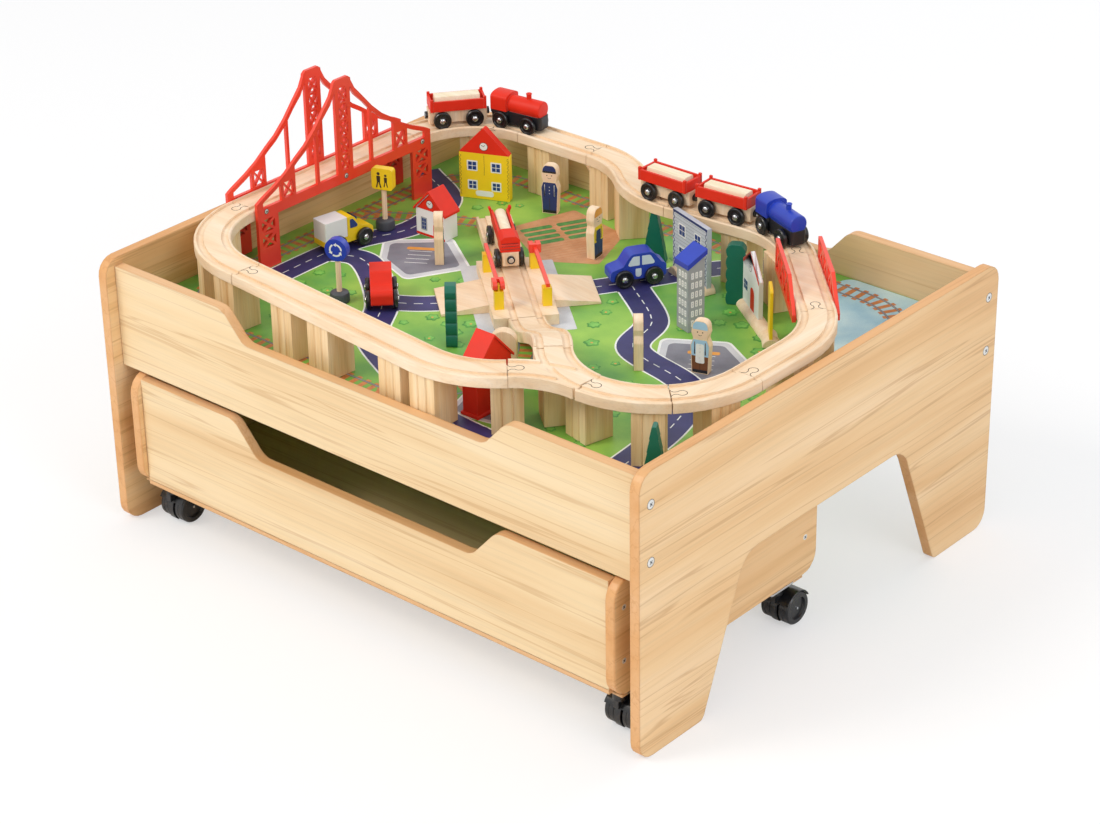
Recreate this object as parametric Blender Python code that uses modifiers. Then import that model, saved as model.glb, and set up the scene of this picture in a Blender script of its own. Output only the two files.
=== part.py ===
"""Car track activity table: a low table with a play board, a rolling drawer under it, and a wooden
railway with its bridges, trains, cars, houses and people set out on the board.

Metres, +Z up. The origin is on the floor under the middle of the table, X runs along the long side
and the open drawer front faces -Y.
"""

import math

import bmesh
import bpy
from mathutils import Matrix, Vector

MM = 0.001

# Fit
GAP = 0.3 * MM  # between pieces that touch
SLIDE_GAP = 3 * MM  # above the drawer and at its ends

# Table
TABLE_LENGTH = 750 * MM
TABLE_DEPTH = 600 * MM
PANEL_HEIGHT = 320 * MM
PANEL_THICKNESS = 12 * MM
PANEL_CORNER = 20 * MM
EDGE_ROUND = 2.5 * MM
FOOT_INNER_CORNER = 9 * MM
LEG_OPENING_FLOOR = 402 * MM  # its width at the floor
LEG_OPENING_TOP = 270 * MM  # its width at its flat top
LEG_OPENING_HEIGHT = 164 * MM
LEG_OPENING_CORNER = 30 * MM
RAIL_INSET = 13 * MM  # from a panel's front edge to the rail's outer face
RAIL_BOTTOM = 193 * MM
RAIL_TOP = 311 * MM
DIP_DEPTH = 33 * MM
DIP_FLOOR = 336 * MM  # length of the level part of the dip in each rail
DIP_SLOPE = 30 * MM
DIP_CORNER = 20 * MM
BOARD_TOP = 258 * MM
BOARD_THICKNESS = 6 * MM
BATTEN_WIDTH = 18 * MM
BATTEN_HEIGHT = 18 * MM

# Drawer
DRAWER_END_GAP = 20.5 * MM  # from a table panel's inner face to the drawer's outer face
DRAWER_LENGTH = TABLE_LENGTH - 2 * PANEL_THICKNESS - 2 * DRAWER_END_GAP
DRAWER_DEPTH = 328 * MM
DRAWER_FRONT_SETBACK = 1.5 * MM  # behind the table panels' front edges
DRAWER_BOTTOM = 58 * MM
DRAWER_WALL = 12 * MM
DRAWER_SIDE_CORNER = 22 * MM
DRAWER_FLOOR_THICKNESS = 9 * MM
DRAWER_FRONT_RECESS = 6 * MM
DRAWER_FRONT_BOTTOM = 63 * MM
DRAWER_FRONT_TOP = 187 * MM
DRAWER_DIP_DEPTH = 38 * MM
DRAWER_DIP_FLOOR = 304 * MM
DRAWER_DIP_SLOPE = 34 * MM
DRAWER_BACK_RECESS = 14 * MM

# Casters
CASTER_PLATE = 38 * MM
CASTER_PLATE_THICKNESS = 2 * MM
CASTER_IN_FROM_END = 19.6 * MM  # swivel axis to the drawer's outer face
CASTER_FRONT = 31 * MM  # front swivel axes behind the drawer's front edge
CASTER_BACK = 42 * MM  # rear swivel axes ahead of the drawer's rear edge
CASTER_TRAIL = 15 * MM
WHEEL_DIAMETER = 37.4 * MM
WHEEL_WIDTH = 13 * MM
WHEEL_FLOOR_GAP = 0.2 * MM
WHEEL_SIDE_GAP = 0.6 * MM
HOOD_WIDTH = 8 * MM  # between the two wheels
HOOD_GAP = 0.6 * MM
HOOD_WALL = 1.4 * MM
WEB_BOTTOM = 4 * MM  # of the piece between the wheels, above the floor
HOOD_EDGE = 9 * MM  # height of the cover's lower edge above the axle
STEM_DIAMETER = 15 * MM
STEM_STEP = 3 * MM
AXLE_DIAMETER = 5 * MM
AXLE_CLEARANCE = 0.15 * MM

# Wooden track
TRACK_WIDTH = 40 * MM
TRACK_THICKNESS = 12 * MM
TRACK_CHAMFER = 1.2 * MM
GROOVE_CENTRE = 13.3 * MM
GROOVE_WIDTH = 7.4 * MM
GROOVE_DEPTH = 2.5 * MM
BEND_RADIUS = 110 * MM
BEND_STEP = 7.5  # degrees between the points of a bend
LEAD = 1 * MM
TRACK_GAP = 0.6 * MM
WIDE_TRACK_GAP = 1.5 * MM  # where two pieces meet at a slight angle
PILLAR_HEIGHT = 60 * MM
PILLAR_LENGTH = 33 * MM
PILLAR_DEPTH = 34 * MM
PILLAR_FLUTES = 2
DOWEL = 8 * MM
FLUTE = 3 * MM
SWITCH_STEM_FROM_RIGHT = 148.2 * MM  # from the table's right end
SWITCH_STEM_FROM_FRONT = 101 * MM  # from the table's front edge
SWITCH_STEM = (TABLE_LENGTH / 2 - SWITCH_STEM_FROM_RIGHT, SWITCH_STEM_FROM_FRONT - TABLE_DEPTH / 2)
BACK_BENDS = 546 * MM  # of the table's length, taken by the panels and bends of the ring's back row
BACK_TRACK = (TABLE_LENGTH - BACK_BENDS) / 2 + 2 * MM
BACK_RIGHT_STRAIGHT = TABLE_LENGTH - BACK_BENDS - BACK_TRACK
RIGHT_BENDS = 518 * MM  # of the table's depth, taken by the rails and bends of the ring's right side
RIGHT_STRAIGHT = TABLE_DEPTH - RIGHT_BENDS
SMALL_BRIDGE = 134 * MM
SWITCH_HEADING = 176.5
RAMP_STEPS = 14
CROSSING_CENTRE = (-0.132 * TABLE_LENGTH / 2, 0.02867 * TABLE_DEPTH / 2)
CROSSING_HEADING = 139.5
CROSSING_LENGTH = 147 * MM
CROSSING_WIDTH = 70 * MM
CROSSING_THICKNESS = 12 * MM
END_TRACK_LENGTH = 118 * MM
ROAD_LENGTH = 52 * MM
ROAD_WIDTH = 66 * MM
ROAD_EDGE = 2.5 * MM
BARRIER_POST = 10 * MM
BARRIER_POST_HEIGHT = 21 * MM
BARRIER_SPAN = 94 * MM
BARRIER_ACROSS = 52 * MM
BARRIER_ARM = 4 * MM
BARRIER_HEAD = 10 * MM
BARRIER_HEAD_WIDTH = 13 * MM
HINGE_PIN = 2 * MM
PIN_CLEARANCE = 0.15 * MM
LUG_LENGTH = 6 * MM
LUG_WIDTH = 2.2 * MM
LUG_CLEARANCE = 0.4 * MM

# Bridges
TRUSS_ENDS = 322 * MM  # of the table's depth, left in front of and behind the big bridge
TRUSS_LENGTH = TABLE_DEPTH - TRUSS_ENDS
TRUSS_CENTRE_Y = 17.5 * MM
TRUSS_THICKNESS = 4 * MM
TRUSS_GAP_OUTSIDE = 0.5 * MM
TRUSS_GAP_INSIDE = 2.0 * MM  # clears the bend that starts beside the truss
TRUSS_LEG = 31 * MM
TRUSS_FOOT = 25 * MM
TRUSS_TOWER_TOP = 444 * MM
TRUSS_SHOULDER = 6 * MM
TRUSS_TOWER = 24 * MM
TRUSS_TOWER_CAP = 27 * MM
TRUSS_END_TOP = 338 * MM
TRUSS_END_BAR = 9 * MM
TRUSS_GIRDER = 12 * MM
TRUSS_BAR = 3.5 * MM
TRUSS_CABLE = 5 * MM
TRUSS_POST = 22 * MM
TRUSS_POST_FROM_END = 49 * MM
TRUSS_POST_AT = TRUSS_LENGTH / 2 - TRUSS_POST_FROM_END
TRUSS_HANGER_SHARE = 0.4627  # of the way from the tower to the post
TRUSS_HANGER_AT = TRUSS_TOWER / 2 + TRUSS_HANGER_SHARE * (TRUSS_POST_AT - TRUSS_POST / 2 - TRUSS_TOWER / 2)
TOWER_PANELS = 5
# The cable's sag: the share of the half length out from the tower, and the share of the rise left there.
CABLE_SHAPE = ((0.10, 1.0), (0.14, 0.89), (0.23, 0.75), (0.33, 0.59), (0.44, 0.45), (0.54, 0.36),
               (0.67, 0.23),
               (0.79, 0.14), (0.95, 0.04), (1.0, 0.0))
PARAPET_HEIGHT = 37 * MM
PARAPET_FOOT_START = 4 * MM
PARAPET_SLOPE = 38 * MM
PARAPET_BAR = 4 * MM
TIE_THICKNESS = 4 * MM
TIE_WIDTH = 10 * MM
TIE_COUNT = 3

# Trains
WAGON_LENGTH = 70 * MM
LOCO_LENGTH = 70 * MM
CROSSING_WAGON_LENGTH = 92 * MM
CHASSIS_WIDTH = 19 * MM
CHASSIS_BOTTOM = 6 * MM
CHASSIS_TOP = 22 * MM
TRAY_WIDTH = 30 * MM
TRAY_TOP = 35 * MM
TRAY_WALL = 3 * MM
TRAY_FLOOR = 4 * MM
LOAD_TOP = 34 * MM
RAIL_WHEEL = 21 * MM
RAIL_WHEEL_WIDTH = 4 * MM
WHEELBASE = 38 * MM
LONG_WHEELBASE = 62 * MM
RAIL_AXLE = 4 * MM
MAGNET = 8 * MM
MAGNET_LENGTH = 2.5 * MM
CAB_TOP = 41 * MM
BOILER = 21 * MM
CHIMNEY = 6 * MM
CHIMNEY_HEIGHT = 7 * MM
CHIMNEY_AT = 22 * MM

# Road cars
CAR_WIDTH = 22 * MM
CAR_WHEELBASE = 34 * MM
BLUE_CAR_LENGTH = 64 * MM
RED_CAR_LENGTH = 58 * MM
TRUCK_LENGTH = 66 * MM
TRUCK_LOAD_TOP = 39 * MM
CAR_HEIGHT = 38 * MM

# Houses, people, trees and signs
HOUSE_FRONT = (61 * MM, 59 * MM, 89 * MM, 10 * MM)  # width, eaves, apex, thickness
WHITE_HOUSE = (42 * MM, 22 * MM, 33 * MM, 58 * MM)  # width, depth, eaves, ridge
RED_HOUSE = (52 * MM, 20 * MM, 54 * MM, 86 * MM)
ROOF_THICKNESS = 3 * MM
EAVES_REACH = 2.5 * MM
BASE_FLANGE = 2 * MM
TOWER_BLOCK = (21 * MM, 21 * MM, 80 * MM, 93 * MM)  # width, depth, low side, high side
HOUSE_BOARD = (68 * MM, 77 * MM, 6 * MM)  # width, height, thickness
FOOT_LOG = 18 * MM
STATION = (61 * MM, 52 * MM, 75 * MM, 5 * MM)  # width, shoulder, apex, thickness
STATION_LOG_LENGTH = 103 * MM
FIGURE_HEIGHT = 60 * MM
FIGURE_WIDTH = 21 * MM
FIGURE_THICKNESS = 10 * MM
TREE_HEIGHT = 70 * MM
TREE_WIDTH = 28 * MM
TREE_THICKNESS = 12 * MM
SIGN_HEIGHT = 75 * MM
SIGN_PLATE = 26 * MM
SIGN_THICKNESS = 9 * MM
SIGN_POST = 6 * MM
SIGN_BASE = 22 * MM
SIGN_BASE_HEIGHT = 12 * MM

# Where the loose toys stand on the board: x and y as shares of the table's half length and half depth, and
# the turn of their length from +X in degrees.
YELLOW_HOUSE_AT = (-0.672, 0.61333, 23)
WHITE_HOUSE_AT = (-0.60533, 0.24333, 2)
RED_HOUSE_FROM_STEM = (-131.8 * MM, -1 * MM)  # from the switch's stem
RED_HOUSE_TURN = 90
TOWER_BLOCK_AT = (0.37733, 0.23333, -16)
HOUSE_BOARD_AT = (0.2, 0.52, -18.7)
STATION_AT = (0.464, 0.44667, -35)
FIGURES_AT = {
    "officer_figure": (-0.44533, 0.67, 22),
    "farmer_figure": (-0.136, 0.47, 100),
    "baker_figure": (0.57067, -0.01, 18),
}
WAVY_TREE_AT = (-0.077333, -0.39333, 131)
CORNER_TREE_AT = (0.88, -0.74, 30)
YELLOW_SIGN_AT = (-0.76, 0.16333, 20)
BLUE_SIGN_AT = (-0.51467, -0.39667, 20)
BLUE_CAR_AT = (0.066667, 0.4, 238)
RED_CAR_AT = (-0.416, -0.30667, -45)
TRUCK_AT = (-0.77067, -0.046667, 80)
CROSSING_WAGON_AT = 91 * MM  # its middle, from the crossing's middle

WOOD = ((0.80, 0.60, 0.40), 0.5, 0.0)
PALE_WOOD = ((0.88, 0.74, 0.55), 0.55, 0.0)
RED = ((0.75, 0.05, 0.03), 0.35, 0.0)
BLUE = ((0.03, 0.07, 0.50), 0.35, 0.0)
YELLOW = ((0.90, 0.65, 0.05), 0.35, 0.0)
WHITE = ((0.85, 0.85, 0.83), 0.4, 0.0)
GREY = ((0.35, 0.37, 0.40), 0.5, 0.0)
GREEN = ((0.02, 0.25, 0.13), 0.45, 0.0)
BOARD_GREEN = ((0.25, 0.45, 0.12), 0.5, 0.0)
BLACK_PLASTIC = ((0.02, 0.02, 0.02), 0.4, 0.0)

for old in list(bpy.data.objects):
    bpy.data.objects.remove(old, do_unlink=True)
parts = bpy.data.collections.new("car_track_activity_table")
helpers = bpy.data.collections.new("cutters")
bpy.context.scene.collection.children.link(parts)
bpy.context.scene.collection.children.link(helpers)


def finish(obj, name, look):
    """Names a piece, gives it its own material and puts it with the parts."""
    colour, roughness, metallic = look
    surface = bpy.data.materials.new(name + "_finish")
    surface.use_nodes = True
    shader = surface.node_tree.nodes["Principled BSDF"]
    shader.inputs["Base Color"].default_value = (*colour, 1)
    shader.inputs["Roughness"].default_value = roughness
    shader.inputs["Metallic"].default_value = metallic
    obj.data.materials.clear()
    obj.data.materials.append(surface)
    obj.name = name
    obj.data.name = name
    for group in list(obj.users_collection):
        group.objects.unlink(obj)
    parts.objects.link(obj)
    return obj


def new_object(mesh, name="shape"):
    obj = bpy.data.objects.new(name, mesh)
    helpers.objects.link(obj)
    return obj


def from_bmesh(bm):
    mesh = bpy.data.meshes.new("shape")
    bm.to_mesh(mesh)
    bm.free()
    return new_object(mesh)


def box(size, centre, turn=0.0):
    """A block with its middle at centre, turned about Z by turn degrees."""
    bm = bmesh.new()
    bmesh.ops.create_cube(bm, size=1)
    place = Matrix.Translation(centre) @ Matrix.Rotation(math.radians(turn), 4, "Z")
    bm.transform(place @ Matrix.Diagonal((*size, 1)))
    return from_bmesh(bm)


def rod(diameter, length, centre, axis=(0, 0, 1), sides=24, top=None):
    """A round bar with its middle at centre; top gives its far end another diameter."""
    bm = bmesh.new()
    bmesh.ops.create_cone(
        bm, cap_ends=True, segments=sides, radius1=diameter / 2,
        radius2=(diameter if top is None else top) / 2, depth=length,
    )
    turn = Vector((0, 0, 1)).rotation_difference(Vector(axis)).to_matrix().to_4x4()
    bm.transform(Matrix.Translation(centre) @ turn)
    obj = from_bmesh(bm)
    obj.data.shade_smooth()
    obj.data.set_sharp_from_angle(angle=math.radians(40))
    return obj


def to_mesh(curve_object):
    """Turns a curve object into a welded mesh in its place."""
    bpy.context.view_layer.update()
    graph = bpy.context.evaluated_depsgraph_get()
    mesh = bpy.data.meshes.new_from_object(curve_object.evaluated_get(graph))
    bm = bmesh.new()
    bm.from_mesh(mesh)
    bmesh.ops.remove_doubles(bm, verts=bm.verts, dist=0.001 * MM)
    bmesh.ops.recalc_face_normals(bm, faces=bm.faces)
    bm.transform(curve_object.matrix_world)
    bm.to_mesh(mesh)
    bm.free()
    mesh.materials.clear()
    bpy.data.objects.remove(curve_object)
    return new_object(mesh)


def combine(obj, others, operation="UNION"):
    """Joins the others to obj, or cuts them from it, and removes them."""
    for other in others:
        step = obj.modifiers.new(operation.lower(), "BOOLEAN")
        step.operation = operation
        step.object = other
    bpy.context.view_layer.update()
    graph = bpy.context.evaluated_depsgraph_get()
    mesh = bpy.data.meshes.new_from_object(obj.evaluated_get(graph))
    obj.modifiers.clear()
    obj.data = mesh
    for other in others:
        bpy.data.objects.remove(other)
    return obj


def rounded(corners, steps=5):
    """The points of a closed outline: each corner is (x, y) or (x, y, radius), and a radius makes an arc."""
    points = []
    count = len(corners)
    for i, corner in enumerate(corners):
        here = Vector(corner[:2])
        if len(corner) < 3:
            points.append(here)
            continue
        before = (Vector(corners[i - 1][:2]) - here).normalized()
        after = (Vector(corners[(i + 1) % count][:2]) - here).normalized()
        half = before.angle(after) / 2
        reach = corner[2] / math.tan(half)
        centre = here + (before + after).normalized() * (corner[2] / math.sin(half))
        start = here + before * reach - centre
        sweep = start.angle_signed(here + after * reach - centre)
        for k in range(steps + 1):
            turned = start.copy()
            turned.rotate(Matrix.Rotation(-sweep * k / steps, 2))
            points.append(centre + turned)
    return points


def plate(outlines, thickness, place=None, bevel=0.0):
    """A flat piece: the first outline is its edge and the others are holes. It lies in XY, centred on Z."""
    curve = bpy.data.curves.new("outline", "CURVE")
    curve.dimensions = "2D"
    curve.fill_mode = "BOTH"
    curve.extrude = thickness / 2
    for outline in outlines:
        spline = curve.splines.new("POLY")
        spline.points.add(len(outline) - 1)
        for point, (x, y) in zip(spline.points, outline):
            point.co = (x, y, 0, 1)
        spline.use_cyclic_u = True
    obj = bpy.data.objects.new("outline", curve)
    obj.matrix_world = place or Matrix()
    helpers.objects.link(obj)
    solid = to_mesh(obj)
    if bevel:
        soften(solid, bevel)
    return solid


def soften(obj, width, segments=1):
    """Rounds the edges between a flat piece's faces and its edge band."""
    step = obj.modifiers.new("edge", "BEVEL")
    step.width = width
    step.segments = segments
    step.limit_method = "ANGLE"
    step.angle_limit = math.radians(60)
    return combine(obj, [])


# Frames for plates: outline X and Y become the named world directions.
STANDING_ALONG_X = Matrix(((1, 0, 0), (0, 0, -1), (0, 1, 0))).to_4x4()
STANDING_ALONG_Y = Matrix(((0, 0, 1), (1, 0, 0), (0, 1, 0))).to_4x4()


def standing(x, y, z, turn):
    """A plate's place when it stands at x, y, z with its length turned by turn degrees from +X."""
    return Matrix.Translation((x, y, z)) @ Matrix.Rotation(math.radians(turn), 4, "Z") @ STANDING_ALONG_X


def dipped(length, bottom, top, dip, floor, slope):
    """A rail's outline, with a wide dip with S-shaped ends in its top edge."""
    low, high, half = floor / 2, floor / 2 + slope, length / 2
    return rounded([
        (-half, bottom), (half, bottom), (half, top),
        (high, top, DIP_CORNER), (low, top - dip, DIP_CORNER),
        (-low, top - dip, DIP_CORNER), (-high, top, DIP_CORNER),
        (-half, top),
    ])


def end_panel(side):
    half, corner = TABLE_DEPTH / 2, PANEL_CORNER
    foot, head = LEG_OPENING_FLOOR / 2, LEG_OPENING_TOP / 2
    outline = rounded([
        (half, PANEL_HEIGHT, corner), (-half, PANEL_HEIGHT, corner),
        (-half, 0, corner), (-foot, 0, FOOT_INNER_CORNER),
        (-head, LEG_OPENING_HEIGHT, LEG_OPENING_CORNER), (head, LEG_OPENING_HEIGHT, LEG_OPENING_CORNER),
        (foot, 0, FOOT_INNER_CORNER), (half, 0, corner),
    ])
    x = side * (TABLE_LENGTH - PANEL_THICKNESS) / 2
    return plate([outline], PANEL_THICKNESS, Matrix.Translation((x, 0, 0)) @ STANDING_ALONG_Y, EDGE_ROUND)


def make_table():
    finish(end_panel(-1), "left_end_panel", WOOD)
    finish(end_panel(1), "right_end_panel", WOOD)
    inside = TABLE_LENGTH - 2 * PANEL_THICKNESS - 2 * GAP
    rail_y = TABLE_DEPTH / 2 - RAIL_INSET - PANEL_THICKNESS / 2
    outline = dipped(inside, RAIL_BOTTOM, RAIL_TOP, DIP_DEPTH, DIP_FLOOR, DIP_SLOPE)
    for name, y in (("front_rail", -rail_y), ("back_rail", rail_y)):
        rail = plate([outline], PANEL_THICKNESS, Matrix.Translation((0, y, 0)) @ STANDING_ALONG_X, EDGE_ROUND)
        finish(rail, name, WOOD)
    depth = 2 * rail_y - PANEL_THICKNESS - 2 * GAP
    board = box((inside, depth, BOARD_THICKNESS), (0, 0, BOARD_TOP - BOARD_THICKNESS / 2))
    finish(board, "play_board", BOARD_GREEN)
    batten_z = BOARD_TOP - BOARD_THICKNESS - GAP - BATTEN_HEIGHT / 2
    frame = box((inside, depth, BATTEN_HEIGHT), (0, 0, batten_z))
    window = box((inside - 2 * BATTEN_WIDTH, depth - 2 * BATTEN_WIDTH, 2 * BATTEN_HEIGHT), (0, 0, batten_z))
    finish(combine(frame, [window], "DIFFERENCE"), "board_battens", PALE_WOOD)


DRAWER_FRONT_Y = -TABLE_DEPTH / 2 + DRAWER_FRONT_SETBACK
DRAWER_MID_Y = DRAWER_FRONT_Y + DRAWER_DEPTH / 2


def caster_places():
    """(name, x, y) of each swivel axis."""
    x = DRAWER_LENGTH / 2 - CASTER_IN_FROM_END
    front = DRAWER_FRONT_Y + CASTER_FRONT
    back = DRAWER_FRONT_Y + DRAWER_DEPTH - CASTER_BACK
    return (
        ("front_left", -x, front), ("front_right", x, front),
        ("back_left", -x, back), ("back_right", x, back),
    )


def make_drawer():
    top = RAIL_BOTTOM - SLIDE_GAP
    corner = DRAWER_SIDE_CORNER
    half = DRAWER_DEPTH / 2
    side_outline = rounded([
        (half, top, corner), (-half, top, corner), (-half, DRAWER_BOTTOM, corner),
        (half, DRAWER_BOTTOM, corner),
    ])
    for name, side in (("drawer_left_side", -1), ("drawer_right_side", 1)):
        x = side * (DRAWER_LENGTH - DRAWER_WALL) / 2
        place = Matrix.Translation((x, DRAWER_MID_Y, 0)) @ STANDING_ALONG_Y
        finish(plate([side_outline], DRAWER_WALL, place, EDGE_ROUND), name, WOOD)
    inside = DRAWER_LENGTH - 2 * DRAWER_WALL - 2 * GAP
    front_y = DRAWER_FRONT_Y + DRAWER_FRONT_RECESS + DRAWER_WALL / 2
    front = dipped(
        inside, DRAWER_FRONT_BOTTOM, DRAWER_FRONT_TOP, DRAWER_DIP_DEPTH, DRAWER_DIP_FLOOR, DRAWER_DIP_SLOPE
    )
    place = Matrix.Translation((0, front_y, 0)) @ STANDING_ALONG_X
    finish(plate([front], DRAWER_WALL, place, EDGE_ROUND), "drawer_front", WOOD)
    back_y = DRAWER_FRONT_Y + DRAWER_DEPTH - DRAWER_BACK_RECESS - DRAWER_WALL / 2
    height = DRAWER_FRONT_TOP - DRAWER_FRONT_BOTTOM
    back = box((inside, DRAWER_WALL, height), (0, back_y, DRAWER_FRONT_BOTTOM + height / 2))
    finish(soften(back, EDGE_ROUND), "drawer_back", WOOD)

    # The floor runs under the front and back and carries the four caster plates.
    y0 = DRAWER_FRONT_Y + DRAWER_FRONT_RECESS
    y1 = back_y + DRAWER_WALL / 2
    underside = DRAWER_BOTTOM - GAP
    lip_top = DRAWER_FRONT_BOTTOM - GAP
    floor = box((inside, y1 - y0, lip_top - underside), (0, (y0 + y1) / 2, (lip_top + underside) / 2))
    well0 = y0 + DRAWER_WALL + GAP
    well1 = y1 - DRAWER_WALL - GAP
    floor_top = DRAWER_BOTTOM + DRAWER_FLOOR_THICKNESS
    well_size = (inside, well1 - well0, floor_top - underside - MM)
    more = [box(well_size, (0, (well0 + well1) / 2, (floor_top + underside + MM) / 2))]
    pad = CASTER_PLATE - 2 * DRAWER_WALL
    for _, x, y in caster_places():
        plate_z = underside - CASTER_PLATE_THICKNESS / 2
        more.append(box((CASTER_PLATE, CASTER_PLATE, CASTER_PLATE_THICKNESS), (x, y, plate_z)))
        pad_x = math.copysign(abs(x) - (CASTER_PLATE - pad) / 2 + MM, x)
        more.append(box((pad, pad, 2 * MM), (pad_x, y, underside)))
    finish(combine(floor, more), "drawer_floor", WOOD)


def set_origin(obj, point):
    """Moves the object's origin to a point in the world and leaves its shape where it is."""
    obj.data.transform(Matrix.Translation(-Vector(point)))
    obj.matrix_world = Matrix.Translation(point)
    return obj


def make_casters():
    """Each caster is a hood that swivels under its plate, and two wheels on one axle that turn in it."""
    stem_top = DRAWER_BOTTOM - GAP - CASTER_PLATE_THICKNESS - GAP
    hub = WHEEL_FLOOR_GAP + WHEEL_DIAMETER / 2
    cover = WHEEL_DIAMETER + 2 * (HOOD_GAP + HOOD_WALL)
    width = HOOD_WIDTH + 2 * (WHEEL_WIDTH + WHEEL_SIDE_GAP)
    for name, x, y in caster_places():
        axle_y = y + CASTER_TRAIL
        wheels = rod(AXLE_DIAMETER, width - 2 * MM, (x, axle_y, hub), (1, 0, 0), 12)
        treads = []
        for side in (-1, 1):
            centre_x = x + side * (HOOD_WIDTH / 2 + WHEEL_SIDE_GAP + WHEEL_WIDTH / 2)
            treads.append(rod(WHEEL_DIAMETER, WHEEL_WIDTH, (centre_x, axle_y, hub), (1, 0, 0), 20))
        finish(set_origin(combine(wheels, treads), (x, axle_y, hub)), "caster_wheels_" + name, BLACK_PLASTIC)

        # The cover is a cap over both wheels. The web runs between them and carries the stem.
        hood = rod(cover, width, (x, axle_y, hub), (1, 0, 0), 20)
        below = box((2 * width, 2 * cover, cover), (x, axle_y, hub + HOOD_EDGE - cover / 2))
        room = rod(WHEEL_DIAMETER + 2 * HOOD_GAP, 2 * width, (x, axle_y, hub), (1, 0, 0), 20)
        hood = combine(hood, [below, room], "DIFFERENCE")
        web = rod(WHEEL_DIAMETER + 2 * HOOD_GAP + HOOD_WALL, HOOD_WIDTH, (x, axle_y, hub), (1, 0, 0), 20)
        head_bottom = hub + HOOD_EDGE + HOOD_WALL
        head_size = (HOOD_WIDTH - MM, CASTER_TRAIL + STEM_DIAMETER / 2, stem_top - STEM_STEP - head_bottom)
        head_centre = (x, y + (CASTER_TRAIL - STEM_DIAMETER / 2) / 2 + MM,
                       (stem_top - STEM_STEP + head_bottom) / 2)
        stem_bottom = hub + WHEEL_DIAMETER / 2 + HOOD_GAP
        stem = rod(STEM_DIAMETER, stem_top - stem_bottom, (x, y, (stem_top + stem_bottom) / 2))
        hood = combine(hood, [web, box(head_size, head_centre), stem])
        bore = rod(AXLE_DIAMETER + 2 * AXLE_CLEARANCE, 3 * HOOD_WIDTH, (x, axle_y, hub), (1, 0, 0), 20)
        under = box((2 * width, 2 * cover, cover), (x, axle_y, WEB_BOTTOM - cover / 2))
        hood = combine(hood, [bore, under], "DIFFERENCE")
        finish(set_origin(hood, (x, y, hub)), "caster_hood_" + name, BLACK_PLASTIC)


def walk(start, heading, segments):
    """The (x, y, heading) points of a centre line of ("straight", length) and ("bend", degrees, radius)."""
    x, y = start
    angle = math.radians(heading)
    points = [(x, y, angle)]
    for kind, amount, *more in segments:
        if kind == "straight":
            x += amount * math.cos(angle)
            y += amount * math.sin(angle)
            points.append((x, y, angle))
            continue
        side = math.copysign(1, amount)
        radius = more[0] if more else BEND_RADIUS
        middle = (x - side * radius * math.sin(angle), y + side * radius * math.cos(angle))
        count = max(1, round(abs(amount) / BEND_STEP))
        for k in range(1, count + 1):
            a = angle + math.radians(amount) * k / count
            x = middle[0] + side * radius * math.sin(a)
            y = middle[1] - side * radius * math.cos(a)
            points.append((x, y, a))
        angle = a
    return points


def trim(points, amount):
    """The same centre line, shortened at both ends, each with a short lead so that its end is cut square."""
    (x0, y0, a0), (x1, y1, a1) = points[0], points[-1]
    ends = []
    for x, y, a, way in ((x0, y0, a0, 1), (x1, y1, a1, -1)):
        for reach in (amount, amount + LEAD):
            ends.append((x + way * reach * math.cos(a), y + way * reach * math.sin(a), a))
    return [ends[0], ends[1], *points[1:-1], ends[3], ends[2]]


def length_of(points):
    return sum(math.dist(a[:2], b[:2]) for a, b in zip(points, points[1:]))


def at_distance(points, distance, aside=0.0):
    """The (x, y, heading) that far along a centre line, and that far to its left."""
    for (x0, y0, a0), (x1, y1, a1) in zip(points, points[1:]):
        length = math.hypot(x1 - x0, y1 - y0)
        if distance <= length:
            break
        distance -= length
    else:
        distance += length
    t = distance / length
    a = a0 + (a1 - a0) * min(1, max(0, t))
    return x0 + (x1 - x0) * t - aside * math.sin(a), y0 + (y1 - y0) * t + aside * math.cos(a), a


def sweep(points, profile):
    """Pulls a closed profile along (x, y, z) points. The profile's second number is height above the line."""
    section = bpy.data.curves.new("section", "CURVE")
    section.dimensions = "2D"
    spline = section.splines.new("POLY")
    spline.points.add(len(profile) - 1)
    for point, (x, y) in zip(spline.points, profile):
        point.co = (x, y, 0, 1)
    spline.use_cyclic_u = True
    section_object = new_object(section, "section")
    curve = bpy.data.curves.new("path", "CURVE")
    curve.dimensions = "3D"
    curve.twist_mode = "Z_UP"
    curve.bevel_mode = "OBJECT"
    curve.bevel_object = section_object
    curve.use_fill_caps = True
    spline = curve.splines.new("POLY")
    spline.points.add(len(points) - 1)
    for point, place in zip(spline.points, points):
        point.co = (*place, 1)
    solid = to_mesh(new_object(curve, "path"))
    bpy.data.objects.remove(section_object)
    # The caps come as triangles, some with no width. Turning their inner edges gives each an area.
    bm = bmesh.new()
    bm.from_mesh(solid.data)
    caps = [face for face in bm.faces if len(face.verts) == 3]
    inner = [edge for edge in bm.edges if all(len(face.verts) == 3 for face in edge.link_faces)]
    bmesh.ops.beautify_fill(bm, faces=caps, edges=inner, method="AREA")
    bm.to_mesh(solid.data)
    bm.free()
    return solid


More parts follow.
